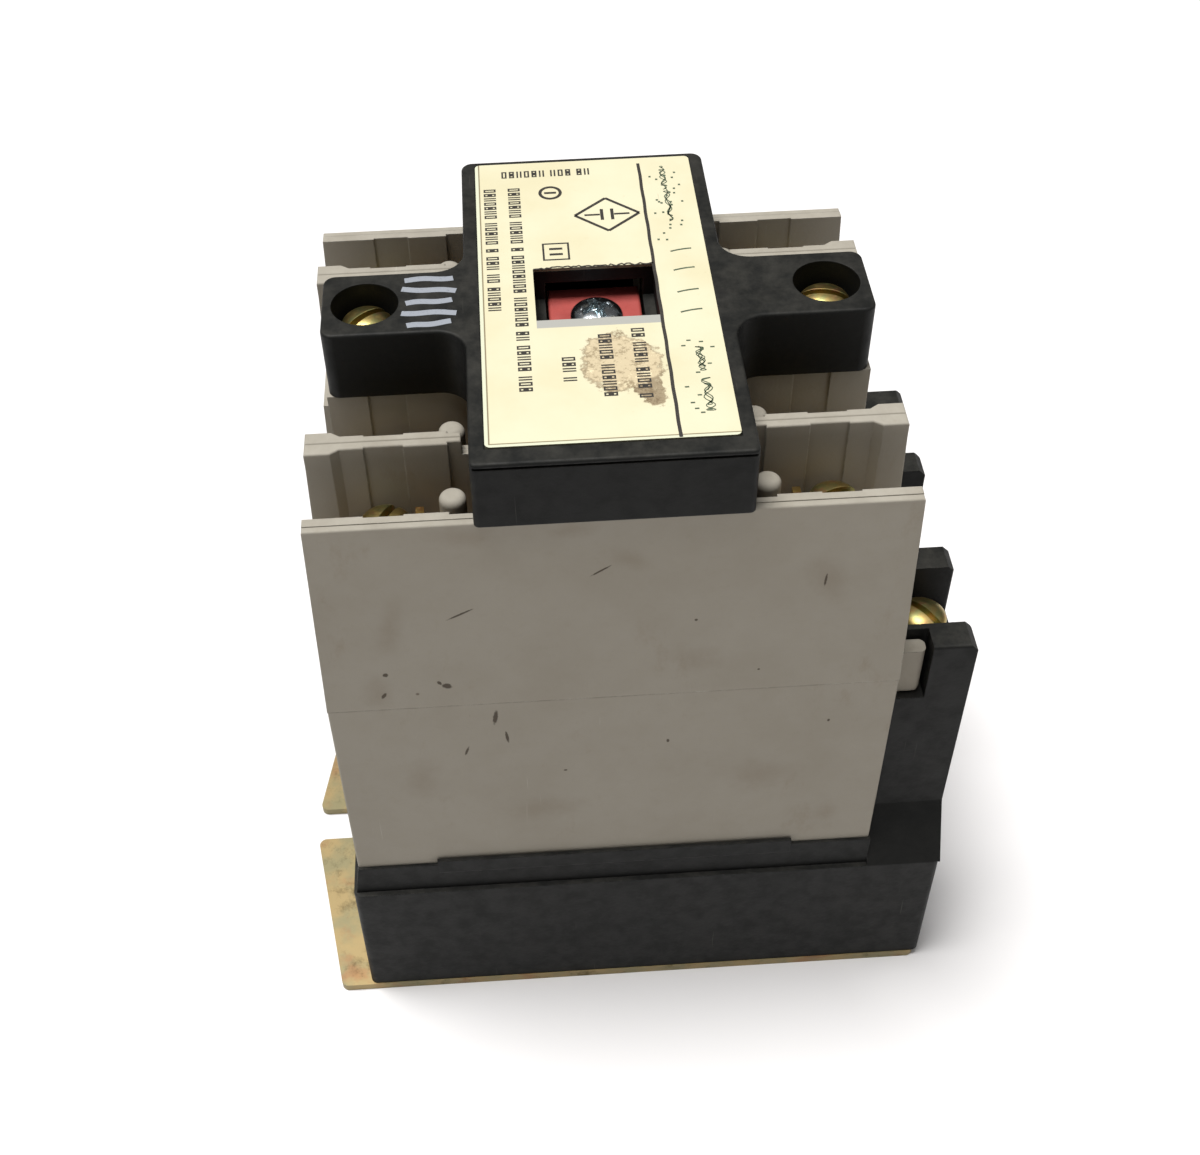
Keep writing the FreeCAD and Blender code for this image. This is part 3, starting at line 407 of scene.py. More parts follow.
@dataclass(frozen=True)
class PlatedMetal:
    """Zinc plate under a chromate: metal whose thin film drifts between gold, green and pink."""

    name: str
    ground: str
    second: str
    third: str
    roughness: float = 0.32
    film_mm: float = 4.0
    metallic: float = 1.0
    grime: str = "3b3222"
    grime_amount: float = 0.45

    def paint(self) -> Paint:
        """Mix the film's colours, dull stains and fine grain.

        Returns:
            The paint, open for a part's own marks.
        """
        paint = Paint(self.name, self.ground, self.roughness, metallic=self.metallic)
        paint.tint(paint.window(paint.noise(self.film_mm, 3), 0.42, 0.62), self.second, 0.8)
        paint.tint(paint.window(paint.noise(self.film_mm * 0.8, 3, seed=5), 0.52, 0.68), self.third, 0.6)
        dirt = paint.window(paint.noise(self.film_mm * 0.6, 6, 0.75, seed=9), 0.5, 0.75)
        paint.tint(dirt, self.grime, self.grime_amount)
        paint.roughen(dirt, 0.3)
        paint.raise_by(paint.noise(0.35, 3, 0.6), 0.012)
        return paint


@dataclass(frozen=True)
class RolledStrip:
    """Stamped copper-alloy or steel strip: metal with a fine lengthwise grain from the rolls."""

    name: str
    ground: str
    tarnish: str
    roughness: float = 0.3
    grain: tuple[float, float, float] = (0.05, 1.0, 1.0)

    def paint(self) -> Paint:
        """Mix the metal, its tarnish and the roll grain.

        Returns:
            The paint.
        """
        paint = Paint(self.name, self.ground, self.roughness, metallic=1.0)
        paint.tint(paint.window(paint.noise(5, 5, 0.65), 0.4, 0.7), self.tarnish, 0.6)
        grain = paint.noise(0.25, 2, 0.5, paint.spot(self.grain))
        paint.roughen(grain, 0.18)
        paint.raise_by(grain, 0.006)
        return paint


@dataclass(frozen=True)
class Laminations:
    """A stack of silicon-steel sheets: dark oxide with a line every half millimetre."""

    name: str = "laminated_silicon_steel"
    pitch_mm: float = 0.5

    def paint(self) -> Paint:
        """Mix the blued steel and the lines of the stack along Y.

        Returns:
            The paint.
        """
        paint = Paint(self.name, "5c5d60", 0.42, metallic=1.0)
        inputs = {"Vector": paint.place, "Scale": WAVE_PERIOD / (self.pitch_mm * MM)}
        wave = add_node(paint.tree, "TexWave", inputs, bands_direction="Y").outputs["Fac"]
        paint.tint(paint.window(wave, 0.25, 0.0), "24231f", 0.8)
        paint.tint(paint.window(paint.noise(3, 5, 0.7), 0.5, 0.72), "6e4a2c", 0.35)
        paint.raise_by(wave, 0.05)
        return paint


@dataclass(frozen=True)
class PlainMoulding:
    """Thermoplastic or rubber with a soft sheen, slight clouding and a fine grain."""

    name: str
    ground: str
    cloud: str
    roughness: float = 0.45
    cloud_mm: float = 4.0
    grain_mm: float = 0.4

    def paint(self) -> Paint:
        """Mix the ground, its clouding and the grain.

        Returns:
            The paint.
        """
        paint = Paint(self.name, self.ground, self.roughness, ior=1.5)
        paint.tint(paint.window(paint.noise(self.cloud_mm, 4), 0.4, 0.7), self.cloud, 0.45)
        paint.tint(paint.window(paint.noise(1.0, 5, 0.7, seed=6), 0.58, 0.75), self.cloud, 0.35)
        paint.roughen(paint.window(paint.noise(2, 4, seed=2), 0.4, 0.7), 0.12)
        paint.raise_by(paint.noise(self.grain_mm, 3), 0.02)
        return paint


@dataclass(frozen=True)
class WoundTape:
    """Varnished tape over enamelled wire: amber bands with the ridges of the turns under them."""

    name: str = "varnished_coil_tape"
    turn_mm: float = 0.6

    def paint(self) -> Paint:
        """Mix the amber varnish and the ridges along Z.

        Returns:
            The paint.
        """
        paint = Paint(self.name, "7d4f1c", 0.28, ior=1.5)
        inputs = {"Vector": paint.place, "Scale": WAVE_PERIOD / (self.turn_mm * MM)}
        wave = add_node(paint.tree, "TexWave", inputs, bands_direction="Z").outputs["Fac"]
        paint.tint(wave, "5a3410", 0.5)
        paint.tint(paint.window(paint.noise(6, 4), 0.45, 0.7), "a06a26", 0.4)
        paint.raise_by(wave, 0.08)
        return paint


@dataclass(frozen=True)
class LabelCard:
    """Cream enamel on thin plate: yellowed, with a brown rubbed patch, darker sides and a bare strip."""

    name: str = "cream_label_enamel"
    half: float = 17.2
    front: float = -33.1
    patch: tuple[float, float] = (2.6, -16.6)
    patch_half: tuple[float, float] = (6.3, 7.0)
    tail: tuple[float, float] = (5.6, -22.0)
    tail_half: tuple[float, float] = (2.2, 5.4)
    rim_share: float = 0.93
    strip_front: float = -8.1
    strip_back: float = -6.0
    window_half: float = 9.1
    border: float = 0.75
    rule: float = 0.2
    fade: float = 0.1

    def wear(self, paint: Paint) -> None:
        """The brown patch where a sticker was rubbed off: speckled, ragged, with a dark rim.

        Args:
            paint: the label's paint so far.
        """
        centre = (*self.patch, 0)
        worn = paint.math("MAXIMUM",
                          paint.blot(centre, (*self.patch_half, ANY_DEPTH), 12, 1.5, 4.0, 0.12, 12),
                          paint.blot((*self.tail, 0), (*self.tail_half, ANY_DEPTH), 20, 1.6, 3.0, 0.15, 13))
        paint.tint(worn, "c0ae8c", 0.85)
        grit = paint.math("MULTIPLY", worn, paint.window(paint.noise(1.5, 7, 0.85, seed=8), 0.5, 0.6))
        paint.tint(grit, "7d6a4b", 0.75)
        pale = paint.math("MULTIPLY", worn, paint.window(paint.noise(2.4, 6, 0.8, seed=28), 0.55, 0.62))
        paint.tint(pale, "e6d9b4", 0.8)
        inner = [side * self.rim_share for side in self.patch_half]
        inside = paint.blot(centre, (*inner, ANY_DEPTH), 12, 1.5, 4.0, 0.12, 12)
        rim = paint.math("MULTIPLY", worn, paint.math("SUBTRACT", 1.0, inside))
        paint.tint(rim, "5d4930", 0.6)
        paint.roughen(worn, 0.25)
        paint.raise_by(worn, -0.03)
        paint.raise_by(grit, -0.02)

    def outside(self, paint: Paint, inset: float) -> Any:
        """Where the label is nearer to its left or front edge than an inset.

        Args:
            paint: the label's paint so far.
            inset: distance from the edge, in millimetres.

        Returns:
            A value socket, one outside the line.
        """
        left, low = inset - self.half, inset + self.front
        return paint.math("MAXIMUM",
                          paint.window(paint.axis("X"), left * MM, (left - self.fade) * MM),
                          paint.window(paint.axis("Y"), low * MM, (low - self.fade) * MM))

    def paint(self) -> Paint:
        """Mix the enamel, yellowing, the rubbed patch, fine cracks, the border and the bare strip.

        Returns:
            The paint.
        """
        paint = Paint(self.name, "d6d0b2", 0.42, ior=1.5)
        paint.tint(paint.window(paint.noise(16, 4), 0.35, 0.7), "cdc4a0", 0.7)
        paint.tint(paint.window(paint.noise(1.3, 5, 0.75, seed=4), 0.62, 0.75), "b59d6c", 0.3)
        self.wear(paint)
        for turn, seed in ((35, 15.0), (-52, 17.0)):
            lines = paint.noise(0.9, 2, 0.5, paint.spot((1, 0.05, 1), (0, 0, turn)), seed)
            sparse = paint.window(paint.noise(6, 2, seed=seed), 0.6, 0.68)
            paint.tint(paint.math("MULTIPLY", paint.window(lines, 0.7, 0.74), sparse), "6a5030", 0.7)
        paint.tint(self.outside(paint, self.border), "6b5a3e", 0.85)
        paint.tint(self.outside(paint, self.border - self.rule), "cfd0b6", 1.0)
        bare = paint.math("MULTIPLY", paint.between("Y", self.strip_front, self.strip_back),
                          paint.between("X", -self.window_half, self.window_half))
        paint.tint(bare, "a5a49d", 1.0)
        # Faces that don't look up are made darker brown-grey.
        side = paint.window(paint.facing("Z"), 0.7, 0.3)
        paint.tint(side, "6d6650", 0.9)
        paint.raise_by(paint.noise(0.5, 3), 0.008)
        return paint


@dataclass(frozen=True)
class Ink:
    """Printed or painted mark: matt pigment that has worn thin in places."""

    name: str
    ground: str
    faded: str
    roughness: float = 0.6
    metallic: float = 0.0

    def paint(self) -> Paint:
        """Mix the pigment and its worn spots.

        Returns:
            The paint.
        """
        paint = Paint(self.name, self.ground, self.roughness, metallic=self.metallic)
        paint.tint(paint.window(paint.noise(0.5, 4, 0.7), 0.55, 0.7), self.faded, 0.6)
        paint.raise_by(paint.noise(0.3, 2), 0.01)
        return paint


GREY_TONES = ("989286", "877f70", "c2bdb0", 0.6, 0.6, 0.25, 0.3, "cbc6b9", 0.6)


class Finish(Enum):
    """The finishes on this relay, one for each real material."""

    BLACK = Moulding("black_phenolic_moulding", "121312", "1b1a18", "67645c", 0.5, 0.7, 0.2, 0.35)
    GREY = GreyMoulding("grey_thermoset_moulding", *GREY_TONES)
    HANDLED = HandledPlate("handled_grey_moulding", *GREY_TONES)
    PLATE = PlatedMetal("yellow_chromate_sheet", "9d8a62", "858062", "976a49", 0.5, 7.0, 0.8)
    SCREW = PlatedMetal("yellow_chromate_screw", "b0995f", "8e9160", "b07a60", 0.36, 1.8, 1.0)
    ZINC = PlatedMetal("bright_zinc_screw", "c3c8cb", "a9b8bd", "cfc9b4", 0.2, 1.6, 1.0, "4b4a44", 0.3)
    CARD = LabelCard()
    INK = Ink("black_label_ink", "2a2621", "5a5244")
    PENCIL = Ink("green_grey_pencil", "46543f", "8b9578", 0.7)
    SILVER_PAINT = Ink("silver_paint_mark", "c4c9d2", "8e949e", 0.35, 0.6)
    RED = PlainMoulding("red_thermoplastic", "a54a44", "843430", 0.42)
    BRASS = RolledStrip("rolled_brass_strip", "c79c55", "8f6a38", 0.3)
    CLAMP = PlatedMetal("plated_saddle_clamp", "b99a55", "a98f5f", "b0714a", 0.3, 2.0)
    COPPER = RolledStrip("rolled_copper_strip", "b8714a", "8a4d34", 0.32)
    SILVER = RolledStrip("silver_contact_tip", "d6d6d2", "8d8a86", 0.36)
    LAMINATED = Laminations()
    STEEL = RolledStrip("drawn_steel", "9b9c9e", "6f6d68", 0.32)
    RUBBER = PlainMoulding("black_rubber_pad", "1d1d1d", "2e2c2a", 0.75)
    NYLON = PlainMoulding("natural_nylon", "ddd8c6", "cbc3a8", 0.4)
    TAPE = WoundTape()
    SLEEVE = PlainMoulding("blue_lead_sleeve", "232a52", "171b33", 0.5)
    CARRIER = PlainMoulding("brown_phenolic_carrier", "33261e", "241a14", 0.4)
    WIRE = RolledStrip("spring_wire", "a7a8ab", "77746c", 0.28, (1.0, 1.0, 0.1))


class FinishRack:
    """Mixes each finish once and hands it out."""

    def __init__(self) -> None:
        """Start with nothing mixed."""
        self.mixed: dict[Finish, bpy.types.Material] = {}

    def get(self, finish: Finish) -> bpy.types.Material:
        """Mix a finish on first use.

        Args:
            finish: which one.

        Returns:
            Its material.
        """
        if finish not in self.mixed:
            self.mixed[finish] = finish.value.paint().finish()
        return self.mixed[finish]

    def dress(self, piece: bpy.types.Object, finish: Finish) -> None:
        """Put one finish on a whole piece."""
        piece.data.materials.clear()
        piece.data.materials.append(self.get(finish))


RACK = FinishRack()


# ---------------------------------------------------------------- surfaces

@dataclass
class Patchwork:
    """Grids of points gathered into one mesh."""

    points: list[np.ndarray] = field(default_factory=list)
    faces: list[np.ndarray] = field(default_factory=list)
    count: int = 0

    def grid(self, points: np.ndarray, wrap: bool = False) -> None:
        """Add a grid of points, joined by quads, turned so that u then v gives the outside.

        Args:
            points: array of rows, columns and three coordinates in metres.
            wrap: whether the last column meets the first.
        """
        rows, columns = points.shape[:2]
        index = np.arange(rows * columns).reshape(rows, columns) + self.count
        if wrap:
            index = np.concatenate([index, index[:, :1]], axis=1)
        quads = np.stack([index[:-1, :-1], index[:-1, 1:], index[1:, 1:], index[1:, :-1]], axis=-1)
        self.points.append(points.reshape(-1, 3))
        self.faces.append(quads.reshape(-1, 4))
        self.count += rows * columns

    def piece(self, name: str, sharp_deg: float = 35.0, merge_mm: float = 0.002) -> bpy.types.Object:
        """Weld the grids into a mesh object with outward faces.

        Args:
            name: the piece's name.
            sharp_deg: edges sharper than this stay crisp.
            merge_mm: points closer than this become one.

        Returns:
            The object, linked to the scene and sitting at the origin.
        """
        mesh = bpy.data.meshes.new(name)
        mesh.from_pydata(np.concatenate(self.points).tolist(), [], np.concatenate(self.faces).tolist())
        work = bmesh.new()
        work.from_mesh(mesh)
        bmesh.ops.remove_doubles(work, verts=work.verts, dist=merge_mm * MM)
        bmesh.ops.dissolve_degenerate(work, dist=merge_mm * MM * 0.5, edges=work.edges)
        bmesh.ops.recalc_face_normals(work, faces=work.faces)
        work.to_mesh(mesh)
        work.free()
        mesh.polygons.foreach_set("use_smooth", np.ones(len(mesh.polygons), dtype=bool))
        mesh.set_sharp_from_angle(angle=math.radians(sharp_deg))
        piece = bpy.data.objects.new(name, mesh)
        bpy.context.scene.collection.objects.link(piece)
        return piece


def turned(profile: Sequence[tuple[float, float]], centre: Vector, columns: int = 40) -> np.ndarray:
    """A surface of revolution: each (radius, height) of the profile becomes a ring about the vertical.

    Args:
        profile: radius and height pairs in metres.
        centre: the axis' foot.
        columns: points on each ring.

    Returns:
        Grid of points, to be wrapped.
    """
    angles = np.linspace(0, 2 * np.pi, columns, endpoint=False)
    radius, height = np.array(profile).T
    x = centre.x + radius[:, None] * np.cos(angles)
    y = centre.y + radius[:, None] * np.sin(angles)
    z = np.broadcast_to(centre.z + height[:, None], x.shape)
    return np.stack([x, y, z], axis=-1)


class Drive(Enum):
    """How a screw head is driven."""

    SLOT = "slot"
    CROSS = "cross"


@dataclass
class ScrewHead:
    """A domed screw head cut by a slot or a cross, with a split washer and shank below it."""

    radius: float
    tall: float
    drive: Drive = Drive.SLOT
    slot_half: float = 0.55 * MM
    slot_deep: float = 1.45 * MM
    chamfer: float = 0.07 * MM
    rim_share: float = 0.42
    washer: float = 0.0
    washer_thick: float = 2.0 * MM
    washer_soft: float = 0.12 * MM
    washer_groove: float = 0.35 * MM
    shank: float = 1.8 * MM
    shank_long: float = 6.0 * MM
    shank_tip: float = 0.4 * MM

    def cut_depth(self, along: np.ndarray, across: np.ndarray) -> np.ndarray:
        """Depth of the driver's cut below the dome.

        Args:
            along: distance along the slot.
            across: distance across it.

        Returns:
            Depth at each point, in metres.
        """
        if self.drive is Drive.SLOT:
            return np.where(np.abs(across) < self.slot_half, self.slot_deep, 0.0)
        inner = np.minimum(np.abs(along), np.abs(across))
        outer = np.maximum(np.abs(along), np.abs(across))
        thin = np.clip((0.62 * MM - inner) / (0.16 * MM), 0, 1)
        wing = thin * np.clip((2.35 * MM - outer) / (0.7 * MM), 0, 1)
        core = np.clip((1.25 * MM - np.hypot(along, across)) / (0.5 * MM), 0, 1)
        return self.slot_deep * np.maximum(wing, core)

    def rows(self) -> np.ndarray:
        """Where the strips across the head lie, doubled at the slot's walls.

        Returns:
            Distances from the head's middle, in metres.
        """
        if self.drive is Drive.CROSS:
            return np.linspace(-1, 1, 81) * self.radius
        even = np.sin(np.linspace(-np.pi / 2, np.pi / 2, 33)) * self.radius
        edge = self.slot_half
        walls = [edge - 1e-7, edge + 1e-7, edge + self.chamfer]
        even = even[np.abs(np.abs(even) - edge) > 0.1 * MM]
        return np.sort(np.concatenate([even, walls, [-wall for wall in walls]]))

    def add_to(self, work: Patchwork, foot: Vector, turn_deg: float) -> None:
        """Build the head as strips: height = rim + dome x sqrt(1 - r^2/R^2), less the driver's cut.

        Args:
            work: the mesh that gathers the screws.
            foot: the middle of the head's underside.
            turn_deg: which way the driver's cut points.
        """
        across = self.rows()
        share = np.sin(np.linspace(-np.pi / 2, np.pi / 2, 33 if self.drive is Drive.SLOT else 81))
        chord = np.sqrt(np.maximum(self.radius ** 2 - across ** 2, 0))
        along = chord[:, None] * share[None, :]
        across = np.broadcast_to(across[:, None], along.shape)
        round_off = np.sqrt(np.maximum(1 - (along ** 2 + across ** 2) / self.radius ** 2, 0))
        rim = self.tall * self.rim_share
        top = rim + (self.tall - rim) * round_off - self.cut_depth(along, across)
        if self.drive is Drive.SLOT:
            near_wall = np.clip((np.abs(across) - self.slot_half) / self.chamfer, 0, 1)
            top = np.where(np.abs(across) >= self.slot_half, top - (1 - near_wall) * self.chamfer, top)
        turn = math.radians(turn_deg)
        x = foot.x + along * math.cos(turn) - across * math.sin(turn)
        y = foot.y + along * math.sin(turn) + across * math.cos(turn)
        sheet = np.stack([x, y, foot.z + top], axis=-1)
        under = sheet.copy()
        under[..., 2] = foot.z
        work.grid(sheet)
        for column in (0, -1):
            work.grid(np.stack([sheet[:, column], under[:, column]]))
        work.grid(under)
        if self.washer:
            self.add_washer(work, foot)
        tip = self.shank_tip
        long = self.shank_long + (self.washer_thick if self.washer else 0)
        work.grid(turned([(self.shank, 0), (self.shank, -long + tip), (self.shank - tip, -long), (0, -long)],
                         foot), wrap=True)

    def add_washer(self, work: Patchwork, foot: Vector) -> None:
        """Build the spring washer and the plain washer below it, with a groove between them.

        Args:
            work: the mesh that gathers the screws.
            foot: the middle of the head's underside.
        """
        wide, thick, soft = self.washer, self.washer_thick, self.washer_soft
        middle = thick * 0.42
        neck = wide - self.washer_groove
        step = middle + 0.1 * MM
        work.grid(turned([(self.shank, 0), (wide - soft, 0), (wide, -soft), (wide, soft - middle),
                          (wide - soft, -middle), (neck, -middle), (neck, -step), (wide - soft, -step),
                          (wide, -middle - soft * 2), (wide, soft - thick), (wide - soft, -thick),
                          (self.shank, -thick)], foot), wrap=True)


@dataclass
class ScrewGroup:
    """All screws of one CAD node, rebuilt with domed heads and real slots."""

    node: str
    body: str
    finish: Finish
    slot_name: str
    places: list[tuple[float, float, float]]
    head: ScrewHead

    def build(self) -> bpy.types.Object:
        """Make the group, dress it and put it in place of its CAD node.

        Returns:
            The piece.
        """
        work = Patchwork()
        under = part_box(self.node)[1].z - self.head.tall
        for x, y, turn in self.places:
            self.head.add_to(work, Vector((x, y, under)), turn)
        piece = work.piece(self.node + "_turned")
        RACK.dress(piece, self.finish)
        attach(piece, self.body)
        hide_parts(self.node)
        log.info("%s: %d screws", piece.name, len(self.places))
        return piece


# ---------------------------------------------------------------- flat marks

@dataclass
class FlatMarks:
    """Thin raised marks on a level surface: bars and strokes of ink with a real thickness."""

    name: str
    level: float
    thick: float
    finish: Finish
    work: Patchwork = field(default_factory=Patchwork)

    def ribbon(self, points: Sequence[tuple[float, float]], width: float, lift: float = 0.0) -> None:
        """A stroke of constant width along a line of points in the plane.

        Args:
            points: x and y of the line, in millimetres.
            width: the stroke's width in millimetres.
            lift: extra height in millimetres, where one stroke crosses another.
        """
        line = np.array(points, float)
        step = np.gradient(line, axis=0)
        step /= np.maximum(np.linalg.norm(step, axis=1, keepdims=True), 1e-9)
        side = np.stack([-step[:, 1], step[:, 0]], axis=1) * width / 2
        left, right = line + side, line - side
        low, top = self.level, self.level + self.thick + lift * MM
        section = [(left, low), (left, top), (right, top), (right, low)]
        rings = [np.column_stack([xy * MM, np.full(len(line), z)]) for xy, z in section]
        self.work.grid(np.stack(rings + rings[:1], axis=1))
        for end in (0, -1):
            self.work.grid(np.stack([ring[end] for ring in rings]).reshape(2, 2, 3))

    def bar(self, x: float, y: float, wide: float, tall: float) -> None:
        """A rectangle centred at a point, all in millimetres."""
        self.ribbon([(x, y - tall / 2), (x, y), (x, y + tall / 2)], wide)

    def frame(self, x: float, y: float, wide: float, tall: float, stroke: float) -> None:
        """An open rectangle of four strokes, centred at a point, all in millimetres."""
        for side in (-1, 1):
            self.bar(x + side * (wide - stroke) / 2, y, stroke, tall)
            self.bar(x, y + side * (tall - stroke) / 2, wide - 2 * stroke, stroke)

    def ring(self, x: float, y: float, radius: float, stroke: float) -> None:
        """A circle drawn as a closed stroke, in millimetres."""
        angles = np.linspace(0, 2 * np.pi, 41)
        self.ribbon([(x + radius * math.cos(a), y + radius * math.sin(a)) for a in angles], stroke)

    def build(self, body: str, slot_name: str) -> bpy.types.Object:
        """Weld, dress and hang the marks on a body.

        Args:
            body: the body they ride on.
            slot_name: not used.

        Returns:
            The piece.
        """
        piece = self.work.piece(self.name, merge_mm=0.0005)
        RACK.dress(piece, self.finish)
        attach(piece, body)
        log.info("%s: %d faces", piece.name, len(piece.data.polygons))
        return piece


@dataclass
class LabelPrint:
    """What is printed on the label: blank type, a contact symbol, small marks and a rule."""

    level: float
    rule_x: float = 9.0
    front: float = -33.0
    back: float = 34.0
    type_tall: float = 1.9
    type_wide: float = 0.82
    type_pitch: float = 1.2
    stroke: float = 0.26
    window_back: float = 6.2
    window_half: float = 9.1
    heading: tuple[float, float, tuple[int, ...]] = (31.8, -12.6, (6, 3, 2))
    lines: tuple[tuple[float, float, tuple[int, ...]], ...] = (
        (-15.0, 27.5, (7, 5, 1, 3, 2, 5)), (-11.2, 27.5, (7, 5, 1, 8, 6, 2, 5, 3)),
        (5.2, -9.6, (2, 4, 4, 1)), (0.4, -10.6, (5, 6)), (-5.0, -15.4, (3, 1)))
    lozenge: tuple[float, float] = (3.0, 19.6)
    box: tuple[float, float] = (-5.4, 10.4)
    ring: tuple[float, float] = (-5.5, 26.2)
    hatching: tuple[tuple[float, float, float], ...] = (
        (29.0, 3.4, 0.5), (21.5, 5.0, 0.45), (-16.5, 3.2, 0.6), (-24.5, 4.2, 0.7))
    ticks: tuple[float, ...] = (9.0, 4.2, -1.2, -6.0)
    seed: int = 7

    def sign(self, marks: FlatMarks, x: float, y: float, wide: float, tall: float, kind: int) -> None:
        """One sign of blank type: a closed block, a pair of bars or a block with a bar across.

        Args:
            marks: the ink that gathers the signs.
            x: its middle.
            y: its middle.
            wide: its size along x.
            tall: its size along y.
            kind: a number whose remainder by three picks the sign.
        """
        if kind % 3 == 1:
            for side in (-1, 1):
                if wide > tall:
                    marks.bar(x, y + side * (tall - self.stroke) / 2, wide, self.stroke)
                else:
                    marks.bar(x + side * (wide - self.stroke) / 2, y, self.stroke, tall)
            return
        marks.frame(x, y, wide, tall, self.stroke)
        if kind % 3 == 2:
            marks.bar(x, y, wide * 0.4, tall * 0.4)

    def type_line(self, marks: FlatMarks, x: float, start: float, words: Sequence[int]) -> None:
        """Blank type running down the label.

        Args:
            marks: the ink that gathers the signs.
            x: the line's middle.
            start: y of its first sign.
            words: number of signs in each word.
        """
        y = start
        for word, count in enumerate(words):
            for number in range(count):
                self.sign(marks, x, y, self.type_tall, self.type_wide, number * 2 + word)
                y -= self.type_pitch
            y -= self.type_pitch * 0.7

    def cross_line(self, marks: FlatMarks, y: float, start: float, words: Sequence[int]) -> None:
        """Blank type running across the label.

        Args:
            marks: the ink that gathers the signs.
            y: the line's middle.
            start: x of its first sign.
            words: number of signs in each word.
        """
        x = start
        for word, count in enumerate(words):
            for number in range(count):
                self.sign(marks, x, y, self.type_wide, self.type_tall * 0.95, number * 2 + word)
                x += self.type_pitch
            x += self.type_pitch * 0.5

    def symbol(self, marks: FlatMarks, x: float, y: float) -> None:
        """The drawing-office sign for a contact: two bars between leads, in a lozenge.

        Args:
            marks: the ink that gathers the strokes.
            x: its middle.
            y: its middle.
        """
        reach, rise = 5.0, 4.4
        corners = [(x - reach, y), (x, y + rise), (x + reach, y), (x, y - rise)]
        for here, there in zip(corners, corners[1:] + corners[:1]):
            steps = np.linspace(0, 1, 5)
            marks.ribbon([(here[0] + (there[0] - here[0]) * s, here[1] + (there[1] - here[1]) * s)
                          for s in steps], 0.5)
        for side in (-1, 1):
            marks.bar(x + side * 0.8, y, 0.5, 2.9)
            marks.bar(x + side * 2.3, y, 2.4, 0.42)

    def pencil(self, marks: FlatMarks) -> None:
        """Faded pencil hatching, ticks and dots on the margin, with no letters in them.

        Args:
            marks: the pencil that gathers the strokes.
        """
        random = np.random.default_rng(self.seed)
        for middle, reach, sway in self.hatching:
            steps = np.linspace(0, 1, 90)
            x = 12.6 + (29 - middle) * 0.02 + sway * np.sin(steps * 60) * (0.3 + 0.7 * np.sin(steps * 3.1))
            y = middle + reach * (np.sin(steps * 11 + middle) * 0.75 + (steps - 0.5) * 0.5)
            marks.ribbon(list(zip(x, y)), 0.16, 0.005)
        for middle in self.ticks:
            steps = np.linspace(0, 1, 9)
            marks.ribbon(list(zip(11.8 + steps * 3.2, middle + steps * 1.1 - 0.5 * steps ** 2)), 0.3, 0.01)
        for x, y in zip(random.uniform(10.3, 15.0, 26), random.uniform(12.0, self.back - 2, 26)):
            marks.bar(x, y, 0.36, 0.42)
        for x, y in zip(random.uniform(10.6, 15.5, 14), random.uniform(self.front + 3, -12.0, 14)):
            marks.bar(x, y, 0.62, 0.3)

    def torn_edge(self, marks: FlatMarks) -> None:
        """A burr of torn enamel along the window's rear edge.

        Args:
            marks: the ink that gathers the strokes.
        """
        random = np.random.default_rng(self.seed + 1)
        x = np.linspace(-self.window_half + 0.1, self.window_half - 0.1, 46)
        y = self.window_back + 0.16 + 0.13 * random.standard_normal(46)
        marks.ribbon(list(zip(x, y)), 0.3)

    def build(self) -> None:
        """Print the label."""
        ink = FlatMarks("label_print", self.level, 0.03 * MM, Finish.INK)
        ink.ribbon([(self.rule_x + 0.04 * math.sin(y * 0.9), y)
                    for y in np.linspace(self.front, self.back - 0.6, 40)], 0.5)
        self.cross_line(ink, *self.heading)
        for line in self.lines:
            self.type_line(ink, *line)
        self.symbol(ink, *self.lozenge)
        x, y = self.box
        ink.frame(x, y, 4.1, 4.4, 0.3)
        for side in (-1, 1):
            ink.bar(x, y + side * 0.7, 2.0, 0.5)
        ink.ring(*self.ring, 1.6, 0.5)
        ink.bar(*self.ring, 1.9, 0.5)
        self.torn_edge(ink)
        ink.build(FIXED, "label_card")
        pencil = FlatMarks("label_pencil_marks", self.level, 0.02 * MM, Finish.PENCIL)
        self.pencil(pencil)
        pencil.build(FIXED, "label_card")


# ---------------------------------------------------------------- sub-assemblies

def four(stem: str) -> tuple[str, ...]:
    """The four nodes of one kind, one to a pole."""
    return tuple(f"{stem}_{pole}" for pole in range(1, 5))


@dataclass
class CadParts:
    """The CAD nodes of one sub-assembly that keep their shapes, by finish."""

    title: str
    finishes: dict[Finish, tuple[str, ...]]

    def build(self) -> None:
        """Dress every part."""
        for finish, nodes in self.finishes.items():
            for node in nodes:
                RACK.dress(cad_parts[node], finish)
            log.info("%s, %s: %d parts", self.title, finish.name, len(nodes))


HOUSINGS = CadParts("housings", {
    Finish.BLACK: ("base_housing", "cover"),
    Finish.GREY: four("pole_housing") + ("centre_column",),
    Finish.HANDLED: ("lower_housing", "front_end_plate", "rear_end_plate"),
    Finish.PLATE: ("mounting_plate",),
    Finish.CARD: ("label_plate",),
    Finish.ZINC: ("housing_screws", "plate_screws"),
})
MAGNET = CadParts("magnet", {
    Finish.RED: ("plunger",),
    Finish.LAMINATED: ("magnet_core", "armature"),
    Finish.STEEL: ("core_rivets", "armature_pin"),
    Finish.COPPER: ("shading_rings",),
    Finish.RUBBER: ("core_cushions",),
    Finish.NYLON: ("coil_bobbin",),
    Finish.TAPE: ("coil_winding",),
    Finish.SLEEVE: ("coil_leads",),
    Finish.CARRIER: ("crosshead",),
    Finish.WIRE: ("return_spring_front", "return_spring_rear"),
})
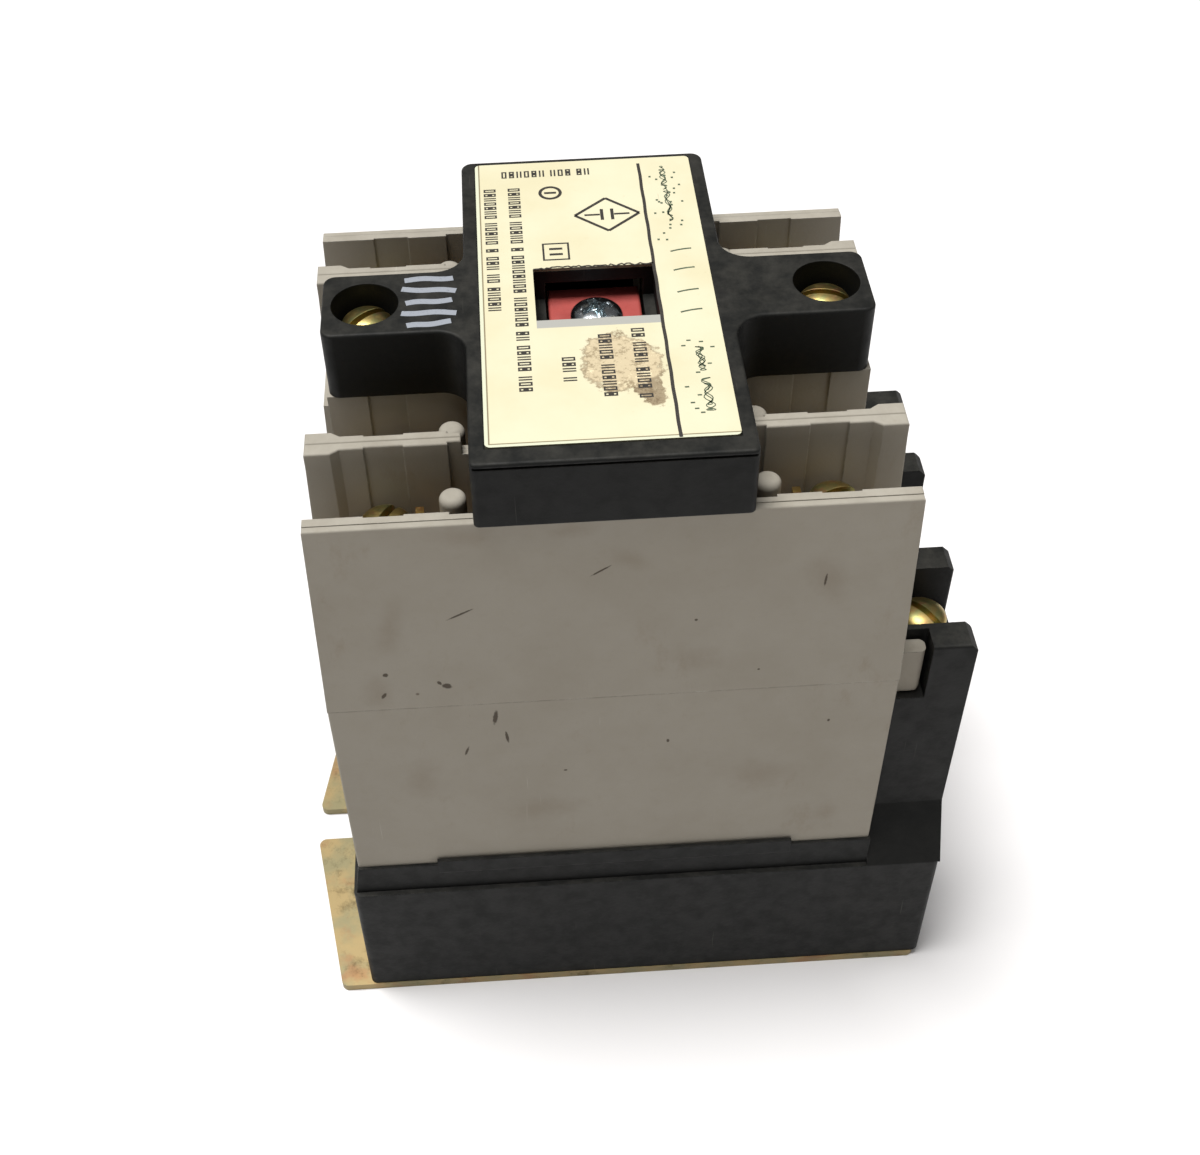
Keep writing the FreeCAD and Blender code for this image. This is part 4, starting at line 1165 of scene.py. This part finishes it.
CONTACTS = CadParts("contacts", {
    Finish.CLAMP: ("saddle_clamps", "coil_saddle_clamps"),
    Finish.BRASS: ("coil_terminal_straps",) + tuple(
        f"{strap}_{end}" for strap in four("terminal_strap") for end in ("left", "right")),
    Finish.COPPER: four("contact_bridge"),
    Finish.SILVER: ("fixed_contact_tips",) + four("moving_tips"),
    Finish.WIRE: four("contact_spring"),
})


@dataclass
class Terminals:
    """The slotted terminal and cover screws, and the plunger's cross-recess screw."""

    pole_x: float = 32.3
    pole_rows: tuple[tuple[float, float, float], ...] = (
        (-27.3, 62, 20), (-12.9, 8, 75), (12.9, -35, 50), (27.3, 15, -70))
    coil_x: float = 51.2
    coil_y: float = 20.1
    cover_x: float = 34.0
    pole_head: float = 3.85 * MM
    coil_head: float = 4.1 * MM
    plunger_head: float = 3.95 * MM
    head_tall: float = 3.6 * MM
    washer: float = 3.4 * MM

    def build(self) -> None:
        """Build the four groups of screws."""
        tall = self.head_tall
        pole = [(sign * self.pole_x * MM, y * MM, turn) for y, left, right in self.pole_rows
                for sign, turn in ((-1, left), (1, right))]
        ScrewGroup("pole_terminal_screws", FIXED, Finish.SCREW, "chromate_screw", pole,
                   ScrewHead(self.pole_head, tall, washer=self.washer, shank_long=8.0 * MM)).build()
        coil = [(self.coil_x * MM, sign * self.coil_y * MM, turn) for sign, turn in ((-1, -52), (1, 25))]
        ScrewGroup("coil_terminal_screws", FIXED, Finish.SCREW, "chromate_screw", coil,
                   ScrewHead(self.coil_head, tall, washer=self.washer, shank=2.0 * MM,
                             shank_long=8.0 * MM)).build()
        cover = [(-self.cover_x * MM, 0, 38), (self.cover_x * MM, 0, -12)]
        low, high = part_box("cover_screws")
        ScrewGroup("cover_screws", FIXED, Finish.SCREW, "chromate_screw", cover,
                   ScrewHead(self.pole_head, tall, shank=1.9 * MM, shank_long=high.z - low.z - tall)).build()
        ScrewGroup("plunger_screw", CARRIER, Finish.ZINC, "zinc_screw", [(0, 0, 20)],
                   ScrewHead(self.plunger_head, 3.1 * MM, Drive.CROSS, slot_deep=1.7 * MM, shank=1.5 * MM,
                             shank_long=12.0 * MM)).build()


@dataclass
class CoverMarks:
    """Tally strokes of silver paint pen on the left arm, drawn by hand."""

    left: float = -28.6
    right: float = -20.6
    stroke: float = 1.15
    rows: tuple[tuple[float, float, float], ...] = (
        (5.3, 0.0, 0.9), (2.6, -0.9, 1.0), (-0.2, 0.3, 0.85), (-2.9, -0.4, 1.0), (-5.5, 0.6, 0.8))

    def build(self) -> None:
        """Each stroke runs along the arm, wavers a little and thins where the pen ran dry."""
        paint = FlatMarks("silver_paint_marks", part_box("cover")[1].z, 0.04 * MM, Finish.SILVER_PAINT)
        for middle, slope, share in self.rows:
            steps = np.linspace(0, 1, 30)
            x = self.left + (self.right - self.left) * (0.5 + (steps - 0.5) * share)
            y = middle + slope * (steps - 0.5) + 0.16 * np.sin(steps * 7 + middle)
            paint.ribbon(list(zip(x, y)), self.stroke)
            paint.ribbon(list(zip(x[3:-5], y[3:-5] + 0.45)), 0.3, 0.01)
        paint.build(FIXED, "zinc_screw")


@dataclass
class Studio:
    """Pale floor, soft lights and the camera."""

    place: tuple[float, float, float] = (-12.67, -197.26, 276.03)
    yaw: float = -2.471
    pitch: float = 46.682
    roll: float = -1.391
    lens: float = 49.42
    shift: tuple[float, float] = (0.0205, 0.0104)
    floor_reach: float = 12.0
    floor_drop: float = 0.05 * MM
    aim_height: float = 0.06

    def floor(self) -> None:
        """A wide flat sheet just below the plate."""
        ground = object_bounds()[0][2] - self.floor_drop
        side = np.linspace(-self.floor_reach, self.floor_reach, 9)
        x, y = np.meshgrid(side, side)
        work = Patchwork()
        work.grid(np.stack([x, y, np.full_like(x, ground)], axis=-1))
        sheet = work.piece("studio_floor")
        paint = Paint("matt_white_sheet", "e1dfde", 0.6)
        paint.tint(paint.window(paint.noise(160, 2), 0.3, 0.8), "dddad9", 0.5)
        sheet.data.materials.append(paint.finish())
        sheet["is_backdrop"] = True

    def aim(self, data: bpy.types.Light, place: tuple[float, float, float]) -> None:
        """Stand one light at a place, aimed at the relay.

        Args:
            data: the light.
            place: where it stands, in metres.
        """
        lamp = bpy.data.objects.new(data.name, data)
        lamp.location = place
        towards = Vector((0, 0, self.aim_height)) - Vector(place)
        lamp.rotation_euler = towards.to_track_quat("-Z", "Y").to_euler()
        bpy.context.scene.collection.objects.link(lamp)

    def lamp(self, name: str, place: tuple[float, float, float], size: float, power: float) -> None:
        """One soft square lamp aimed at the relay.

        Args:
            name: its name.
            place: where it stands, in metres.
            size: its side in metres.
            power: its power in watts.
        """
        data = bpy.data.lights.new(name, "AREA")
        data.energy = power
        data.size = size
        self.aim(data, place)

    def skylight(self, name: str, place: tuple[float, float, float], spread: float, strength: float) -> None:
        """One wide far lamp, as strong over the whole floor as on the relay.

        Args:
            name: its name.
            place: the direction it shines from.
            spread: how wide it looks, in degrees.
            strength: its strength in watts per square metre.
        """
        data = bpy.data.lights.new(name, "SUN")
        data.energy = strength
        data.angle = math.radians(spread)
        self.aim(data, place)

    def room(self, glow: float) -> None:
        """White walls that light the relay faintly and are seen as white.

        Args:
            glow: how strongly they light it.
        """
        world = bpy.data.worlds.new("white_room")
        bpy.context.scene.world = world
        world.use_nodes = True
        tree = world.node_tree
        dim = tree.nodes["Background"]
        dim.inputs["Color"].default_value = linear("ffffff")
        dim.inputs["Strength"].default_value = glow
        wall = add_node(tree, "Background", {"Color": linear("ffffff"), "Strength": 1.0})
        seen = add_node(tree, "LightPath").outputs["Is Camera Ray"]
        both = add_node(tree, "MixShader", {0: seen, 1: dim.outputs[0], 2: wall.outputs[0]})
        tree.links.new(both.outputs[0], tree.nodes["World Output"].inputs["Surface"])

    def camera(self) -> None:
        """Stand the camera in front, looking down on the cover."""
        yaw, pitch, roll = (math.radians(angle) for angle in (self.yaw, self.pitch, self.roll))
        level_on = math.cos(pitch)
        forward = Vector((-math.sin(yaw) * level_on, math.cos(yaw) * level_on, -math.sin(pitch)))
        level = Vector((math.cos(yaw), math.sin(yaw), 0))
        up = level.cross(forward)
        right = level * math.cos(roll) + up * math.sin(roll)
        up = up * math.cos(roll) - level * math.sin(roll)
        data = bpy.data.cameras.new("view")
        data.lens = self.lens
        data.sensor_width = 36
        data.shift_x, data.shift_y = self.shift
        data.clip_start = 0.01
        camera = bpy.data.objects.new("view", data)
        turn = Matrix((right, up, -forward)).transposed().to_4x4()
        camera.matrix_world = Matrix.Translation(Vector(self.place) * MM) @ turn
        bpy.context.scene.collection.objects.link(camera)
        bpy.context.scene.camera = camera

    def build(self) -> None:
        """Set the camera, the floor, the lights and the surrounding white."""
        self.camera()
        self.floor()
        self.skylight("key_light", (-0.25, 0.05, 1.25), spread=27.0, strength=4.5)
        self.lamp("fill_lamp", (0.6, -0.1, 1.0), size=0.9, power=2.2)
        self.lamp("front_lamp", (-0.2, -1.25, 0.3), size=0.7, power=0.35)
        self.room(glow=0.1)
        bpy.context.scene.view_settings.view_transform = "Standard"


def main() -> None:
    """Dress the parts, build the new pieces and set the studio."""
    logging.basicConfig(level=logging.INFO)
    Studio().build()
    for parts in (HOUSINGS, MAGNET, CONTACTS):
        parts.build()
    Terminals().build()
    LabelPrint(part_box("label_plate")[1].z).build()
    CoverMarks().build()


if __name__ == "__main__":
    main()
